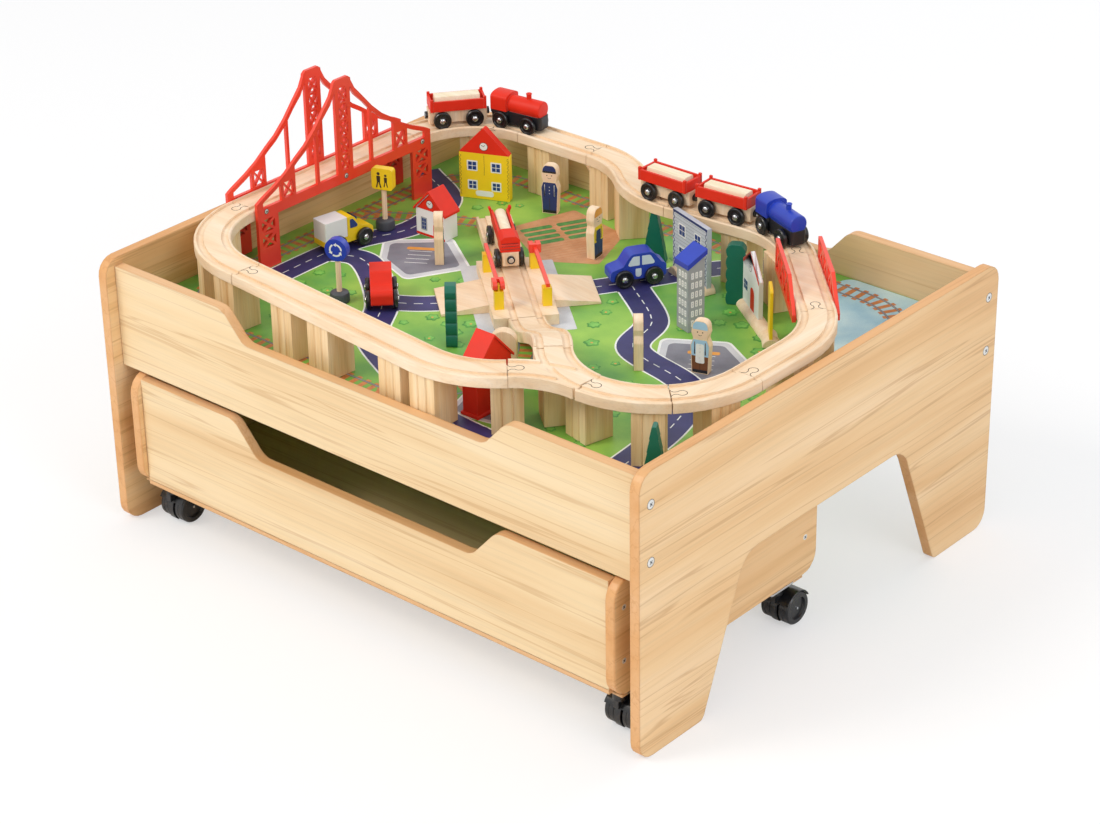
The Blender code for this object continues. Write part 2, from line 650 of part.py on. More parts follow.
def track_profile(thickness=TRACK_THICKNESS, grooves=True):
    """A track's cross-section, with its underside at height 0."""
    half, top, edge = TRACK_WIDTH / 2, thickness, TRACK_CHAMFER
    profile = [(-half, 0), (half, 0), (half, top - edge), (half - edge, top)]
    for side in (1, -1):
        if grooves:
            outer = GROOVE_CENTRE + GROOVE_WIDTH / 2
            inner = GROOVE_CENTRE - GROOVE_WIDTH / 2
            near, far = (outer, inner) if side > 0 else (inner, outer)
            floor = top - GROOVE_DEPTH
            profile += [(side * near, top), (side * near, floor), (side * far, floor), (side * far, top)]
    profile += [(edge - half, top), (-half, top - edge)]
    return profile


def pillar(line, distance, aside=0.0):
    """A fluted block that stands on the board under a track, and the dowel that holds the track to it."""
    distance = distance if distance >= 0 else length_of(line) + distance
    x, y, heading = at_distance(line, distance, aside)
    half, depth = PILLAR_LENGTH / 2, PILLAR_DEPTH / 2
    pitch = PILLAR_LENGTH / (PILLAR_FLUTES + 1)
    outline = []
    for side in (-1, 1):
        outline.append((side * half, side * depth))
        for k in range(PILLAR_FLUTES):
            middle = side * (half - pitch * (k + 1))
            for step, bite in ((1, 0), (0, 1), (-1, 0)):
                outline.append((middle + side * step * FLUTE / 2, side * (depth - bite * FLUTE / 2)))
        outline.append((-side * half, side * depth))
    bottom, top = BOARD_TOP + GAP, TRACK_BOTTOM - GAP
    place = Matrix.Translation((x, y, (bottom + top) / 2)) @ Matrix.Rotation(heading, 4, "Z")
    block = plate([outline], top - bottom, place)
    hold = DOWEL / 2 + WIDE_TRACK_GAP
    along = min(max(distance, hold), length_of(line) - hold)
    x, y, _ = at_distance(line, along, aside / 2)
    return [block, rod(DOWEL, 4 * MM, (x, y, TRACK_BOTTOM), (0, 0, 1), 8)]


TRACK_BOTTOM = BOARD_TOP + PILLAR_HEIGHT
TRACK_TOP = TRACK_BOTTOM + TRACK_THICKNESS

# Each run goes on from the end of the one before, anticlockwise from the switch. The third entry is where
# its pillars stand: how far along it, or back from its end where negative, and how far to its left.
CLOSES_RING = None  # the length of a straight that is worked out so that the ring meets the switch
RUNS = (
    ("front_right_curve", (("bend", 45),), ((66 * MM, 0),)),
    ("right_curve", (("bend", 45),), ((48 * MM, 0),)),
    ("right_run", (("straight", RIGHT_STRAIGHT), ("bend", 45)), ((72 * MM, 0), (-22.4 * MM, 0))),
    ("small_bridge_track", (("straight", SMALL_BRIDGE),), ()),
    ("back_right_track", (("bend", 50), ("straight", BACK_RIGHT_STRAIGHT)),
     ((26 * MM, 8 * MM), (106 * MM, 0))),
    ("s_curve_track", (("bend", -47), ("bend", 42)), ((88 * MM, 0), (150 * MM, 0))),
    ("back_track", (("straight", BACK_TRACK),), ((-29 * MM, 0),)),
    ("back_left_curve", (("bend", 45, 100 * MM), ("bend", 45, 100 * MM)), ((70 * MM, 0),)),
    ("bridge_deck", (("straight", CLOSES_RING),), ()),
    ("front_left_curve", (("bend", 42), ("bend", 42.5), ("straight", 20 * MM)),
     ((49 * MM, 0), (112 * MM, 0), (163 * MM, 0))),
    ("front_track", (("straight", CLOSES_RING), ("bend", 49)),
     ((77 * MM, 0), (136 * MM, 0), (-127 * MM, 0), (-81 * MM, 0), (-1 * MM, 13 * MM))),
)
SWITCH_PILLARS = ((1, 19 * MM, -17 * MM), (1, 68 * MM, -2 * MM))  # on the branch into the middle


def closing_straights():
    """The lengths of the two straights that bring the ring's end to the switch."""
    start, heading = SWITCH_STEM, 0
    ways = []
    for _, segments, _ in RUNS:
        for segment in segments:
            if segment[1] is CLOSES_RING:
                ways.append(Vector((math.cos(math.radians(heading)), math.sin(math.radians(heading)))))
                continue
            line = walk(start, heading, (segment,))
            start, heading = line[-1][:2], math.degrees(line[-1][2])
    miss = Vector(switch_end(-1)[:2]) - Vector(start)
    first, second = ways
    cross = first.x * second.y - first.y * second.x
    return [(miss.x * second.y - miss.y * second.x) / cross, (first.x * miss.y - first.y * miss.x) / cross]


def ring():
    """Each run's name, centre line and pillar places, in order."""
    start, heading = SWITCH_STEM, 0
    closing = closing_straights()
    found = []
    for name, segments, pillars in RUNS:
        known = [(kind, closing.pop(0) if amount is CLOSES_RING else amount, *more)
                 for kind, amount, *more in segments]
        line = walk(start, heading, known)
        found.append((name, line, pillars))
        start, heading = line[-1][:2], math.degrees(line[-1][2])
    return found


def make_tracks():
    lines = ring()
    for name, line, pillars in lines:
        gap = WIDE_TRACK_GAP if name in ("front_right_curve", "front_track") else TRACK_GAP
        points = [(x, y, TRACK_BOTTOM) for x, y, _ in trim(line, gap / 2)]
        track = sweep(points, track_profile())
        more = [piece for place in pillars for piece in pillar(line, *place)]
        track = combine(track, more) if more else track
        finish(track, name, PALE_WOOD)


def make_switch():
    """The three-way piece: two bends that part from one stem."""
    heading = math.radians(SWITCH_HEADING)
    place = Matrix.Translation((*SWITCH_STEM, 0)) @ Matrix.Rotation(heading, 4, "Z")
    inner, outer = BEND_RADIUS - TRACK_WIDTH / 2, BEND_RADIUS + TRACK_WIDTH / 2
    turn = math.radians(45) - WIDE_TRACK_GAP / 2 / BEND_RADIUS
    crotch = math.acos(BEND_RADIUS / outer)
    side = []
    for k in range(9):
        a = turn * k / 8
        side.append((inner * math.sin(a), BEND_RADIUS - inner * math.cos(a)))
    for k in range(4):
        a = turn + (crotch - turn) * k / 4
        side.append((outer * math.sin(a), BEND_RADIUS - outer * math.cos(a)))
    outline = side + [(outer * math.sin(crotch), 0)] + [(x, -y) for x, y in reversed(side)]
    height = Matrix.Translation((WIDE_TRACK_GAP / 2, 0, TRACK_BOTTOM + TRACK_THICKNESS / 2))
    track = plate([outline], TRACK_THICKNESS, place @ height)
    cutters = []
    for way in (-1, 1):
        line = walk((0, 0), 0, (("bend", way * 45),))
        x0, _, _ = line[0]
        x1, y1, a1 = line[-1]
        line = [(x0 - 5 * MM, 0, 0), *line, (x1 + 5 * MM * math.cos(a1), y1 + 5 * MM * math.sin(a1), a1)]
        for groove in (-1, 1):
            middle = groove * GROOVE_CENTRE
            half = GROOVE_WIDTH / 2
            floor = TRACK_THICKNESS - GROOVE_DEPTH
            profile = [(middle - half, floor), (middle + half, floor), (middle + half, 2 * TRACK_THICKNESS),
                       (middle - half, 2 * TRACK_THICKNESS)]
            cutter = sweep([(x, y, TRACK_BOTTOM) for x, y, _ in line], profile)
            cutter.data.transform(place)
            cutters.append(cutter)
    for cutter in cutters:
        track = combine(track, [cutter], "DIFFERENCE")
    stands = []
    for way, distance, aside in SWITCH_PILLARS:
        line = [(*(place @ Vector((x, y, 0))).xy, a + heading)
                for x, y, a in walk((0, 0), 0, (("bend", -way * 45),))]
        stands += pillar(line, distance, aside)
    finish(combine(track, stands), "switch_track", PALE_WOOD)


def switch_end(way):
    """The (x, y, heading) where a branch ends: way is 1 for the middle's branch and -1 for the ring's."""
    x, y, a = walk((0, 0), 0, (("bend", -way * 45),))[-1]
    heading = math.radians(SWITCH_HEADING)
    spot = Matrix.Translation((*SWITCH_STEM, 0)) @ Matrix.Rotation(heading, 4, "Z") @ Vector((x, y, 0))
    return spot.x, spot.y, a + heading


def local(centre, heading):
    """The place of something built about the origin with its length along X."""
    return Matrix.Translation(centre) @ Matrix.Rotation(math.radians(heading), 4, "Z")


def place_on_board(place):
    """The x and y of a toy from its shares of the table's half length and half depth."""
    return place[0] * TABLE_LENGTH / 2, place[1] * TABLE_DEPTH / 2


def ease(t):
    """From 0 to 1 with level ends."""
    return t * t * (3 - 2 * t)


def make_ramp():
    """The slope from the switch down to the level crossing."""
    x0, y0, a0 = switch_end(1)
    crossing = local((*CROSSING_CENTRE, 0), CROSSING_HEADING)
    end = crossing @ Vector((-CROSSING_LENGTH / 2, 0, 0))
    target = math.atan2(end.y - y0, end.x - x0)
    low = BOARD_TOP + GAP + CROSSING_THICKNESS - TRACK_THICKNESS
    points = []
    for k in range(RAMP_STEPS + 1):
        t = k / RAMP_STEPS
        # A cubic that leaves along the branch and arrives along the crossing.
        reach = math.hypot(end.x - x0, end.y - y0)
        lead = Vector((math.cos(a0), math.sin(a0))) * reach * t * (1 - t) ** 2
        arrive = Vector((math.cos(target), math.sin(target))) * reach * t * t * (t - 1)
        flat = Vector((x0, y0)) * (1 - ease(t)) + Vector((end.x, end.y)) * ease(t) + lead + arrive
        points.append((flat.x, flat.y, TRACK_BOTTOM + (low - TRACK_BOTTOM) * ease(t)))
    first, last = points[0], points[-1]
    away = Vector((math.cos(a0), math.sin(a0)))
    ahead = Vector((math.cos(target), math.sin(target)))
    gap = WIDE_TRACK_GAP
    points[0] = (first[0] + away.x * gap, first[1] + away.y * gap, first[2])
    points.insert(1, (points[0][0] + away.x * LEAD, points[0][1] + away.y * LEAD, first[2]))
    points[-1] = (last[0] - ahead.x * gap, last[1] - ahead.y * gap, last[2])
    points.insert(-1, (points[-1][0] - ahead.x * LEAD, points[-1][1] - ahead.y * LEAD, last[2]))
    finish(sweep(points, track_profile()), "ramp_track", PALE_WOOD)


def moved(obj, place):
    obj.data.transform(place)
    return obj


def crossing_place():
    return local((*CROSSING_CENTRE, 0), CROSSING_HEADING)


def make_crossing():
    """The low track piece where the road crosses, with its roads, four posts and two barrier arms."""
    bottom = BOARD_TOP + GAP
    top = bottom + CROSSING_THICKNESS
    middle = (bottom + top) / 2
    base = box((CROSSING_LENGTH, CROSSING_WIDTH, CROSSING_THICKNESS), (0, 0, middle))
    end_x = CROSSING_LENGTH / 2 + END_TRACK_LENGTH / 2 - MM
    pieces = [box((END_TRACK_LENGTH, TRACK_WIDTH, CROSSING_THICKNESS - 0.02 * MM), (end_x, 0, middle))]
    road = [
        (-ROAD_LENGTH, bottom), (MM, bottom), (MM, top - ROAD_EDGE), (-ROAD_LENGTH, bottom + ROAD_EDGE),
    ]
    for side in (-1, 1):
        outline = [(side * (CROSSING_WIDTH / 2 - x), z) for x, z in road]
        pieces.append(plate([outline], ROAD_WIDTH, STANDING_ALONG_Y))
    post_x, post_y = BARRIER_SPAN / 2, BARRIER_ACROSS / 2
    post_top = top + BARRIER_POST_HEIGHT
    for x in (-post_x, post_x):
        for y in (-post_y, post_y):
            height = BARRIER_POST_HEIGHT + MM
            pieces.append(box((BARRIER_POST, BARRIER_POST, height), (x, y, post_top - height / 2)))
    hinge_z = post_top + GAP * 2 + BARRIER_HEAD / 2
    for way in (-1, 1):
        x, y = way * post_x, -way * post_y
        lug_top = hinge_z + HINGE_PIN * 0.9
        lug_bottom = post_top - MM
        pieces.append(box((LUG_LENGTH, LUG_WIDTH, lug_top - lug_bottom), (x, y, (lug_top + lug_bottom) / 2)))
        pieces.append(rod(HINGE_PIN, BARRIER_HEAD_WIDTH, (x, y, hinge_z), (0, 1, 0), 12))
    base = combine(base, pieces)
    grooves = []
    for side in (-1, 1):
        length = CROSSING_LENGTH + 2 * END_TRACK_LENGTH
        size = (2 * length, GROOVE_WIDTH, 2 * GROOVE_DEPTH)
        grooves.append(box(size, (0, side * GROOVE_CENTRE, top)))
    base = combine(base, grooves, "DIFFERENCE")
    finish(moved(base, crossing_place()), "level_crossing", PALE_WOOD)

    for name, way in (("barrier_arm_left", -1), ("barrier_arm_right", 1)):
        x, y = way * post_x, -way * post_y
        head = rod(BARRIER_HEAD, BARRIER_HEAD_WIDTH, (0, 0, 0), (0, 1, 0), 16)
        block_length = BARRIER_HEAD
        block = box((block_length, BARRIER_HEAD_WIDTH, BARRIER_HEAD), (block_length / 2, 0, 0))
        arm_end = BARRIER_SPAN + BARRIER_POST
        bar = box((arm_end - block_length + MM, BARRIER_ARM, BARRIER_ARM),
                  ((arm_end + block_length - MM) / 2, 0, 0))
        arm = combine(head, [block, bar])
        slot_end = BARRIER_HEAD / 2 + MM / 2
        slot = box((2 * slot_end, LUG_WIDTH + 2 * LUG_CLEARANCE, 2 * BARRIER_HEAD), (0, 0, 0))
        bore = rod(HINGE_PIN + 2 * PIN_CLEARANCE, 2 * BARRIER_HEAD_WIDTH, (0, 0, 0), (0, 1, 0), 12)
        arm = combine(arm, [slot, bore], "DIFFERENCE")
        spot = crossing_place() @ Vector((x, y, hinge_z))
        arm.matrix_world = local(spot, CROSSING_HEADING + (0 if way < 0 else 180))
        finish(arm, name, RED)


def braced(x0, x1, z0, z1, bar):
    """The four triangular windows that leave an X-shaped brace across a panel."""
    width, height = x1 - x0, z1 - z0
    slant = math.hypot(width, height) / 2
    up, along = bar * slant / width, bar * slant / height
    middle = ((x0 + x1) / 2, (z0 + z1) / 2)
    return [
        [(x0, z0 + up), (middle[0] - along, middle[1]), (x0, z1 - up)],
        [(x1, z0 + up), (x1, z1 - up), (middle[0] + along, middle[1])],
        [(x0 + along, z0), (x1 - along, z0), (middle[0], middle[1] - up)],
        [(x0 + along, z1), (middle[0], middle[1] + up), (x1 - along, z1)],
    ]


def panels(x0, x1, z0, z1, count, bar):
    """X-braced windows one over another."""
    windows = []
    height = (z1 - z0 + bar) / count
    for k in range(count):
        low = z0 + k * height
        windows += braced(x0, x1, low, low + height - bar, bar)
    return windows


def cable_height(d):
    """The suspension bar's top edge at a distance from the tower."""
    half, rise = TRUSS_LENGTH / 2, TRUSS_TOWER_TOP - TRUSS_SHOULDER - TRUSS_END_TOP
    for (d0, h0), (d1, h1) in zip(CABLE_SHAPE, CABLE_SHAPE[1:]):
        if d <= d1 * half:
            t = (d / half - d0) / (d1 - d0)
            return TRUSS_END_TOP + rise * (h0 + (h1 - h0) * t)
    return TRUSS_END_TOP


def cable_underside(d):
    """The suspension bar's lower edge, one bar's width from its top edge measured square to it."""
    slope = (cable_height(d + MM) - cable_height(d - MM)) / (2 * MM)
    return cable_height(d) - TRUSS_CABLE * math.hypot(1, slope)


def truss_outlines():
    """The suspension bridge's side: its edge and its windows, along the deck from the tower."""
    half, bar = TRUSS_LENGTH / 2, TRUSS_BAR
    bottom = BOARD_TOP + GAP
    girder_top = TRACK_TOP + MM
    girder_bottom = girder_top - TRUSS_GIRDER
    curve = [(d * half, cable_height(d * half)) for d, _ in CABLE_SHAPE]
    cap = TRUSS_TOWER_CAP / 2
    right = [(half - TRUSS_LEG, girder_bottom), (half - TRUSS_LEG, bottom), (half, bottom)]
    right += [(d, z) for d, z in reversed(curve)] + [(cap, TRUSS_TOWER_TOP - TRUSS_SHOULDER / 2)]
    top = [(cap - MM * 4, TRUSS_TOWER_TOP), (MM * 4 - cap, TRUSS_TOWER_TOP)]
    edge = right + top + [(-x, z) for x, z in reversed(right)]
    windows = []
    stops = (
        (TRUSS_TOWER / 2, TRUSS_HANGER_AT - bar / 2),
        (TRUSS_HANGER_AT + bar / 2, TRUSS_POST_AT - TRUSS_POST / 2),
        (TRUSS_POST_AT + TRUSS_POST / 2, half - TRUSS_END_BAR),
    )
    for way in (-1, 1):
        for d0, d1 in stops:
            inside = [d for d, _ in curve if d0 < d < d1]
            top_edge = [(d, cable_underside(d)) for d in (d0, *inside, d1)]
            outline = [(d0, girder_top), (d1, girder_top)] + list(reversed(top_edge))
            if top_edge[-1][1] < girder_top + bar:
                outline = [(d0, girder_top), (d1, girder_top), (d1, girder_top + bar),
                           *list(reversed(top_edge[:-1]))]
            windows.append([(way * d, z) for d, z in outline])
        x0, x1 = sorted((way * (TRUSS_POST_AT - TRUSS_POST / 2 + bar),
                         way * (TRUSS_POST_AT + TRUSS_POST / 2 - bar)))
        post_top = cable_underside(TRUSS_POST_AT + TRUSS_POST / 2)
        windows += panels(x0, x1, girder_top + bar / 2, post_top, 1, bar / 2)
        x0, x1 = sorted((way * (half - TRUSS_LEG + bar * 1.6), way * (half - bar * 1.6)))
        windows += panels(x0, x1, bottom + TRUSS_FOOT, girder_bottom - bar / 2, 2, bar)
    x1 = TRUSS_TOWER / 2 - bar * 1.6
    windows += panels(-x1, x1, girder_top + bar, TRUSS_TOWER_TOP - TRUSS_SHOULDER * 1.8, TOWER_PANELS,
                      bar * 0.8)
    return [edge] + windows


def make_bridges():
    deck = dict((name, line) for name, line, _ in ring())["bridge_deck"]
    deck_x = deck[0][0]
    for name, way, gap in (
        ("bridge_outer_truss", -1, TRUSS_GAP_OUTSIDE), ("bridge_inner_truss", 1, TRUSS_GAP_INSIDE)
    ):
        x = deck_x + way * (TRACK_WIDTH / 2 + gap + TRUSS_THICKNESS / 2)
        place = Matrix.Translation((x, TRUSS_CENTRE_Y, 0)) @ STANDING_ALONG_Y
        finish(plate(truss_outlines(), TRUSS_THICKNESS, place), name, RED)

    line = dict((name, line) for name, line, _ in ring())["small_bridge_track"]
    x0, y0, a0 = line[0]
    length = math.hypot(line[-1][0] - x0, line[-1][1] - y0)
    bottom = TRACK_BOTTOM - GAP - TIE_THICKNESS
    top = bottom + PARAPET_HEIGHT
    bar = PARAPET_BAR
    low = PARAPET_FOOT_START
    high = length - PARAPET_FOOT_START
    slope = low + PARAPET_SLOPE
    edge = [(low, bottom), (high, bottom), (high, top), (slope, top), (low, bottom + 2 * bar)]
    windows = []
    count = 3
    pitch = (high - slope - bar) / count
    for k in range(count):
        left = slope + bar + k * pitch
        windows += braced(left, left + pitch - bar, bottom + 1.6 * bar, top - bar, bar * 0.7)
    windows.append([
        (low + 2.2 * bar, bottom + 1.6 * bar), (slope - bar * 0.2, bottom + 1.6 * bar),
        (slope - bar * 0.2, top - 2 * bar),
    ])
    place = local((x0, y0, 0), math.degrees(a0))
    rails = []
    for way in (-1, 1):
        y = way * (TRACK_WIDTH / 2 + GAP * 2 + TRUSS_THICKNESS / 2)
        rails.append(plate([edge] + windows, TRUSS_THICKNESS,
                           Matrix.Translation((0, y, 0)) @ STANDING_ALONG_X))
    ties = []
    width = TRACK_WIDTH + 2 * TRUSS_THICKNESS
    for k in range(TIE_COUNT):
        x = low + TIE_WIDTH + (high - low - 2 * TIE_WIDTH) * k / (TIE_COUNT - 1)
        ties.append(box((TIE_WIDTH, width, TIE_THICKNESS), (x, 0, bottom + TIE_THICKNESS / 2 + 0.01 * MM)))
    finish(moved(combine(rails[0], [rails[1]] + ties), place), "small_bridge_parapets", RED)


def wheels(wheelbase, across, middle=0.0):
    """Two axles and four wheels, with the wheel bottoms at height 0."""
    found = []
    for way in (-1, 1):
        x = middle + way * wheelbase / 2
        found.append(rod(RAIL_AXLE, 2 * across, (x, 0, RAIL_WHEEL / 2), (0, 1, 0), 8))
        for side in (-1, 1):
            found.append(rod(RAIL_WHEEL, RAIL_WHEEL_WIDTH, (x, side * across, RAIL_WHEEL / 2), (0, 1, 0), 14))
    return found


def magnets(length, back=True):
    """The round couplers at the ends of a train vehicle."""
    ways = (-1, 1) if back else (-1,)
    reach = MAGNET_LENGTH + MM
    middle = (CHASSIS_BOTTOM + CHASSIS_TOP) / 2
    return [rod(MAGNET, reach, (way * (length / 2 - MM + reach / 2), 0, middle), (1, 0, 0), 8)
            for way in ways]


def wagon(length, log=False):
    """A wooden chassis with a tray and its load, standing about the origin on its wheels."""
    chassis = box((length, CHASSIS_WIDTH, CHASSIS_TOP - CHASSIS_BOTTOM),
                  (0, 0, (CHASSIS_TOP + CHASSIS_BOTTOM) / 2))
    tray_bottom = CHASSIS_TOP - MM
    tray = box((length - 4 * MM, TRAY_WIDTH, TRAY_TOP - tray_bottom), (0, 0, (TRAY_TOP + tray_bottom) / 2))
    floor = CHASSIS_TOP + TRAY_FLOOR
    inside = length - 4 * MM - 2 * TRAY_WALL
    hollow = box((inside, TRAY_WIDTH - 2 * TRAY_WALL, TRAY_TOP), (0, 0, floor + TRAY_TOP / 2))
    tray = combine(tray, [hollow], "DIFFERENCE")
    width = TRAY_WIDTH - 2 * TRAY_WALL - 4 * MM
    if log:
        load = rod(width + 2 * MM, inside - 6 * MM, (0, 0, LOAD_TOP - width / 4), (1, 0, 0), 20)
    else:
        load = box((inside - 6 * MM, width, LOAD_TOP - floor + MM), (0, 0, (LOAD_TOP + floor - MM) / 2))
    return combine(chassis, [tray, load] + magnets(length) + wheels(WHEELBASE, GROOVE_CENTRE))


def locomotive():
    """An engine facing +X: a frame, a cab at the back, a round boiler and a chimney."""
    half = LOCO_LENGTH / 2
    frame = box((LOCO_LENGTH, CHASSIS_WIDTH, CHASSIS_TOP - CHASSIS_BOTTOM),
                (0, 0, (CHASSIS_TOP + CHASSIS_BOTTOM) / 2))
    cab_length = LOCO_LENGTH * 0.32
    side, low = TRAY_WIDTH / 2 - 2 * MM, CHASSIS_TOP - MM
    cab_outline = rounded([(-side, low), (side, low), (side, CAB_TOP, 8 * MM), (-side, CAB_TOP, 8 * MM)], 3)
    cab = plate([cab_outline], cab_length,
                Matrix.Translation((cab_length / 2 - half + 2 * MM, 0, 0)) @ STANDING_ALONG_Y)
    boiler_length = LOCO_LENGTH - cab_length - 4 * MM
    boiler_z = CHASSIS_TOP + BOILER * 0.3
    boiler = rod(BOILER, boiler_length, (half - boiler_length / 2 - 2 * MM, 0, boiler_z), (1, 0, 0), 16)
    chimney_length = BOILER / 2 + CHIMNEY_HEIGHT
    chimney = rod(CHIMNEY, chimney_length, (half - CHIMNEY_AT, 0, boiler_z + chimney_length / 2),
                  (0, 0, 1), 12)
    return combine(frame,
                   [cab, boiler, chimney] + magnets(LOCO_LENGTH, False) + wheels(WHEELBASE, GROOVE_CENTRE))


def along_ring(near, wheelbase):
    """The middle and heading of a vehicle with both its axles over the ring, near a place."""
    dense = []
    for _, line, _ in ring():
        length = length_of(line)
        count = round(length / MM)
        dense += [at_distance(line, length * k / count)[:2] for k in range(count)]
    nearest = min(range(len(dense)), key=lambda k: math.dist(dense[k], near))
    half = round(wheelbase / 2 / MM)
    back, front = Vector(dense[nearest - half]), Vector(dense[nearest + half])
    middle = (back + front) / 2
    return middle.x, middle.y, math.degrees(math.atan2(front.y - back.y, front.x - back.x))


def make_trains():
    rail = TRACK_TOP - GROOVE_DEPTH + GAP
    for name, near, build, way, look in (
        ("red_wagon_rear", (TABLE_LENGTH / 2 - 358 * MM, TABLE_DEPTH / 2 - 111 * MM),
         lambda: wagon(WAGON_LENGTH), 180, RED),
        ("red_wagon_front", (TABLE_LENGTH / 2 - 281 * MM, TABLE_DEPTH / 2 - 105 * MM),
         lambda: wagon(WAGON_LENGTH), 180, RED),
        ("blue_locomotive", (TABLE_LENGTH / 2 - 205 * MM, TABLE_DEPTH / 2 - 113 * MM), locomotive, 180, BLUE),
        ("red_locomotive", (126 * MM - TABLE_LENGTH / 2, TABLE_DEPTH / 2 - 57 * MM), locomotive, 180, RED),
        ("log_wagon", (59 * MM - TABLE_LENGTH / 2, TABLE_DEPTH / 2 - 93 * MM),
         lambda: wagon(WAGON_LENGTH, True), 180, RED),
    ):
        x, y, heading = along_ring(near, WHEELBASE)
        finish(moved(build(), local((x, y, rail), heading + way)), name, look)

    # The long wagon on the crossing's end track: a red engine house at its near end and a beam bed behind it.
    length = CROSSING_WAGON_LENGTH
    chassis = box((length, CHASSIS_WIDTH, CHASSIS_TOP - CHASSIS_BOTTOM),
                  (0, 0, (CHASSIS_TOP + CHASSIS_BOTTOM) / 2))
    cab_outline = rounded([
        (-11 * MM, CHASSIS_TOP - MM), (11 * MM, CHASSIS_TOP - MM), (11 * MM, 40 * MM, 7 * MM),
        (-11 * MM, 40 * MM, 7 * MM),
    ])
    cab_length = 24 * MM
    cab_x = -length / 2 + cab_length / 2 + 2 * MM
    cab = plate([cab_outline], cab_length, Matrix.Translation((cab_x, 0, 0)) @ STANDING_ALONG_Y)
    bed_length = length - cab_length - 6 * MM
    bed_x = length / 2 - bed_length / 2 - 2 * MM
    bed = box((bed_length + 3 * MM, 12 * MM, 12 * MM), (bed_x - MM, 0, CHASSIS_TOP + 5 * MM))
    sides = [
        box((bed_length, 3 * MM, 16 * MM), (bed_x, side * 7.4 * MM, CHASSIS_TOP + 7 * MM)) for side in (-1, 1)
    ]
    parts_of = [cab, bed] + sides + magnets(length) + wheels(LONG_WHEELBASE, GROOVE_CENTRE)
    truck = combine(chassis, parts_of)
    floor = BOARD_TOP + GAP + CROSSING_THICKNESS - GROOVE_DEPTH + GAP
    place = crossing_place() @ Matrix.Translation((CROSSING_WAGON_AT, 0, floor))
    finish(set_origin(moved(truck, place), place.translation), "crossing_wagon", RED)


def car_body(outline, width=CAR_WIDTH):
    return plate([rounded(outline, 3)], width, STANDING_ALONG_X)


def make_cars():
    half = BLUE_CAR_LENGTH / 2
    low, waist, top = 8 * MM, 24 * MM, CAR_HEIGHT
    body = car_body([
        (-half, low, 3 * MM), (half, low, 3 * MM), (half, waist - 4 * MM, 4 * MM),
        (half * 0.55, waist, 4 * MM),
        (half * 0.25, top, 6 * MM), (-half * 0.5, top, 7 * MM), (-half * 0.82, waist, 4 * MM),
        (-half, waist - 2 * MM, 3 * MM),
    ])
    board = BOARD_TOP + GAP
    car = combine(body, wheels(CAR_WHEELBASE, GROOVE_CENTRE))
    car = moved(car, local((*place_on_board(BLUE_CAR_AT), board), BLUE_CAR_AT[2]))
    finish(set_origin(car, (*place_on_board(BLUE_CAR_AT), board)), "blue_car", BLUE)

    half = RED_CAR_LENGTH / 2
    body = car_body([
        (-half, low, 3 * MM), (half, low, 3 * MM), (half, waist, 6 * MM),
        (half * 0.3, waist + 2 * MM, 5 * MM),
        (0, top - 2 * MM, 5 * MM), (-half, top - 2 * MM, 5 * MM),
    ], CAR_WIDTH + 2 * MM)
    car = combine(body, wheels(CAR_WHEELBASE - 2 * MM, GROOVE_CENTRE + 1.5 * MM))
    car = moved(car, local((*place_on_board(RED_CAR_AT), board), RED_CAR_AT[2]))
    finish(set_origin(car, (*place_on_board(RED_CAR_AT), board)), "red_car", RED)

    half = TRUCK_LENGTH / 2
    body = car_body([
        (-half, low, 3 * MM), (half, low, 3 * MM), (half, waist - 4 * MM, 5 * MM),
        (half * 0.45, waist, 4 * MM),
        (half * 0.15, top, 4 * MM), (-2 * MM, top), (-2 * MM, low + 8 * MM), (-half, low + 8 * MM),
    ])
    load_height = TRUCK_LOAD_TOP - low - 7 * MM
    load = box((half - 3 * MM, CAR_WIDTH + 2 * MM, load_height),
               (-half / 2 - MM, 0, TRUCK_LOAD_TOP - load_height / 2))
    truck = combine(body, [load] + wheels(CAR_WHEELBASE + 2 * MM, GROOVE_CENTRE + MM, MM))
    truck = moved(truck, local((*place_on_board(TRUCK_AT), board), TRUCK_AT[2]))
    finish(set_origin(truck, (*place_on_board(TRUCK_AT), board)), "yellow_truck", YELLOW)


def gable_house(width, depth, eaves, ridge, flange=0.0):
    """A block with a ridged roof that overhangs it, with its gable facing -Y."""
    half = width / 2
    walls = [(-half, 0), (half, 0), (half, eaves), (0, ridge - ROOF_THICKNESS), (-half, eaves)]
    body = plate([walls], depth, STANDING_ALONG_X)
    slope = (ridge - ROOF_THICKNESS - eaves) / half
    out = half + EAVES_REACH
    low = eaves - EAVES_REACH * slope
    sunk = 0.5 * MM  # the roof reaches this far into the block, so that they are one body
    under = [(-out, low), (-out + sunk, low), (0, ridge - ROOF_THICKNESS - sunk * slope),
             (out - sunk, low), (out, low)]
    over = [(out, low + ROOF_THICKNESS), (0, ridge), (-out, low + ROOF_THICKNESS)]
    roof = plate([under + over], depth + 2 * EAVES_REACH, STANDING_ALONG_X)
    pieces = [roof]
    if flange:
        pieces.append(box((width + 2 * flange, depth + 2 * flange, 3 * MM), (0, 0, 1.5 * MM)))
    return combine(body, pieces)


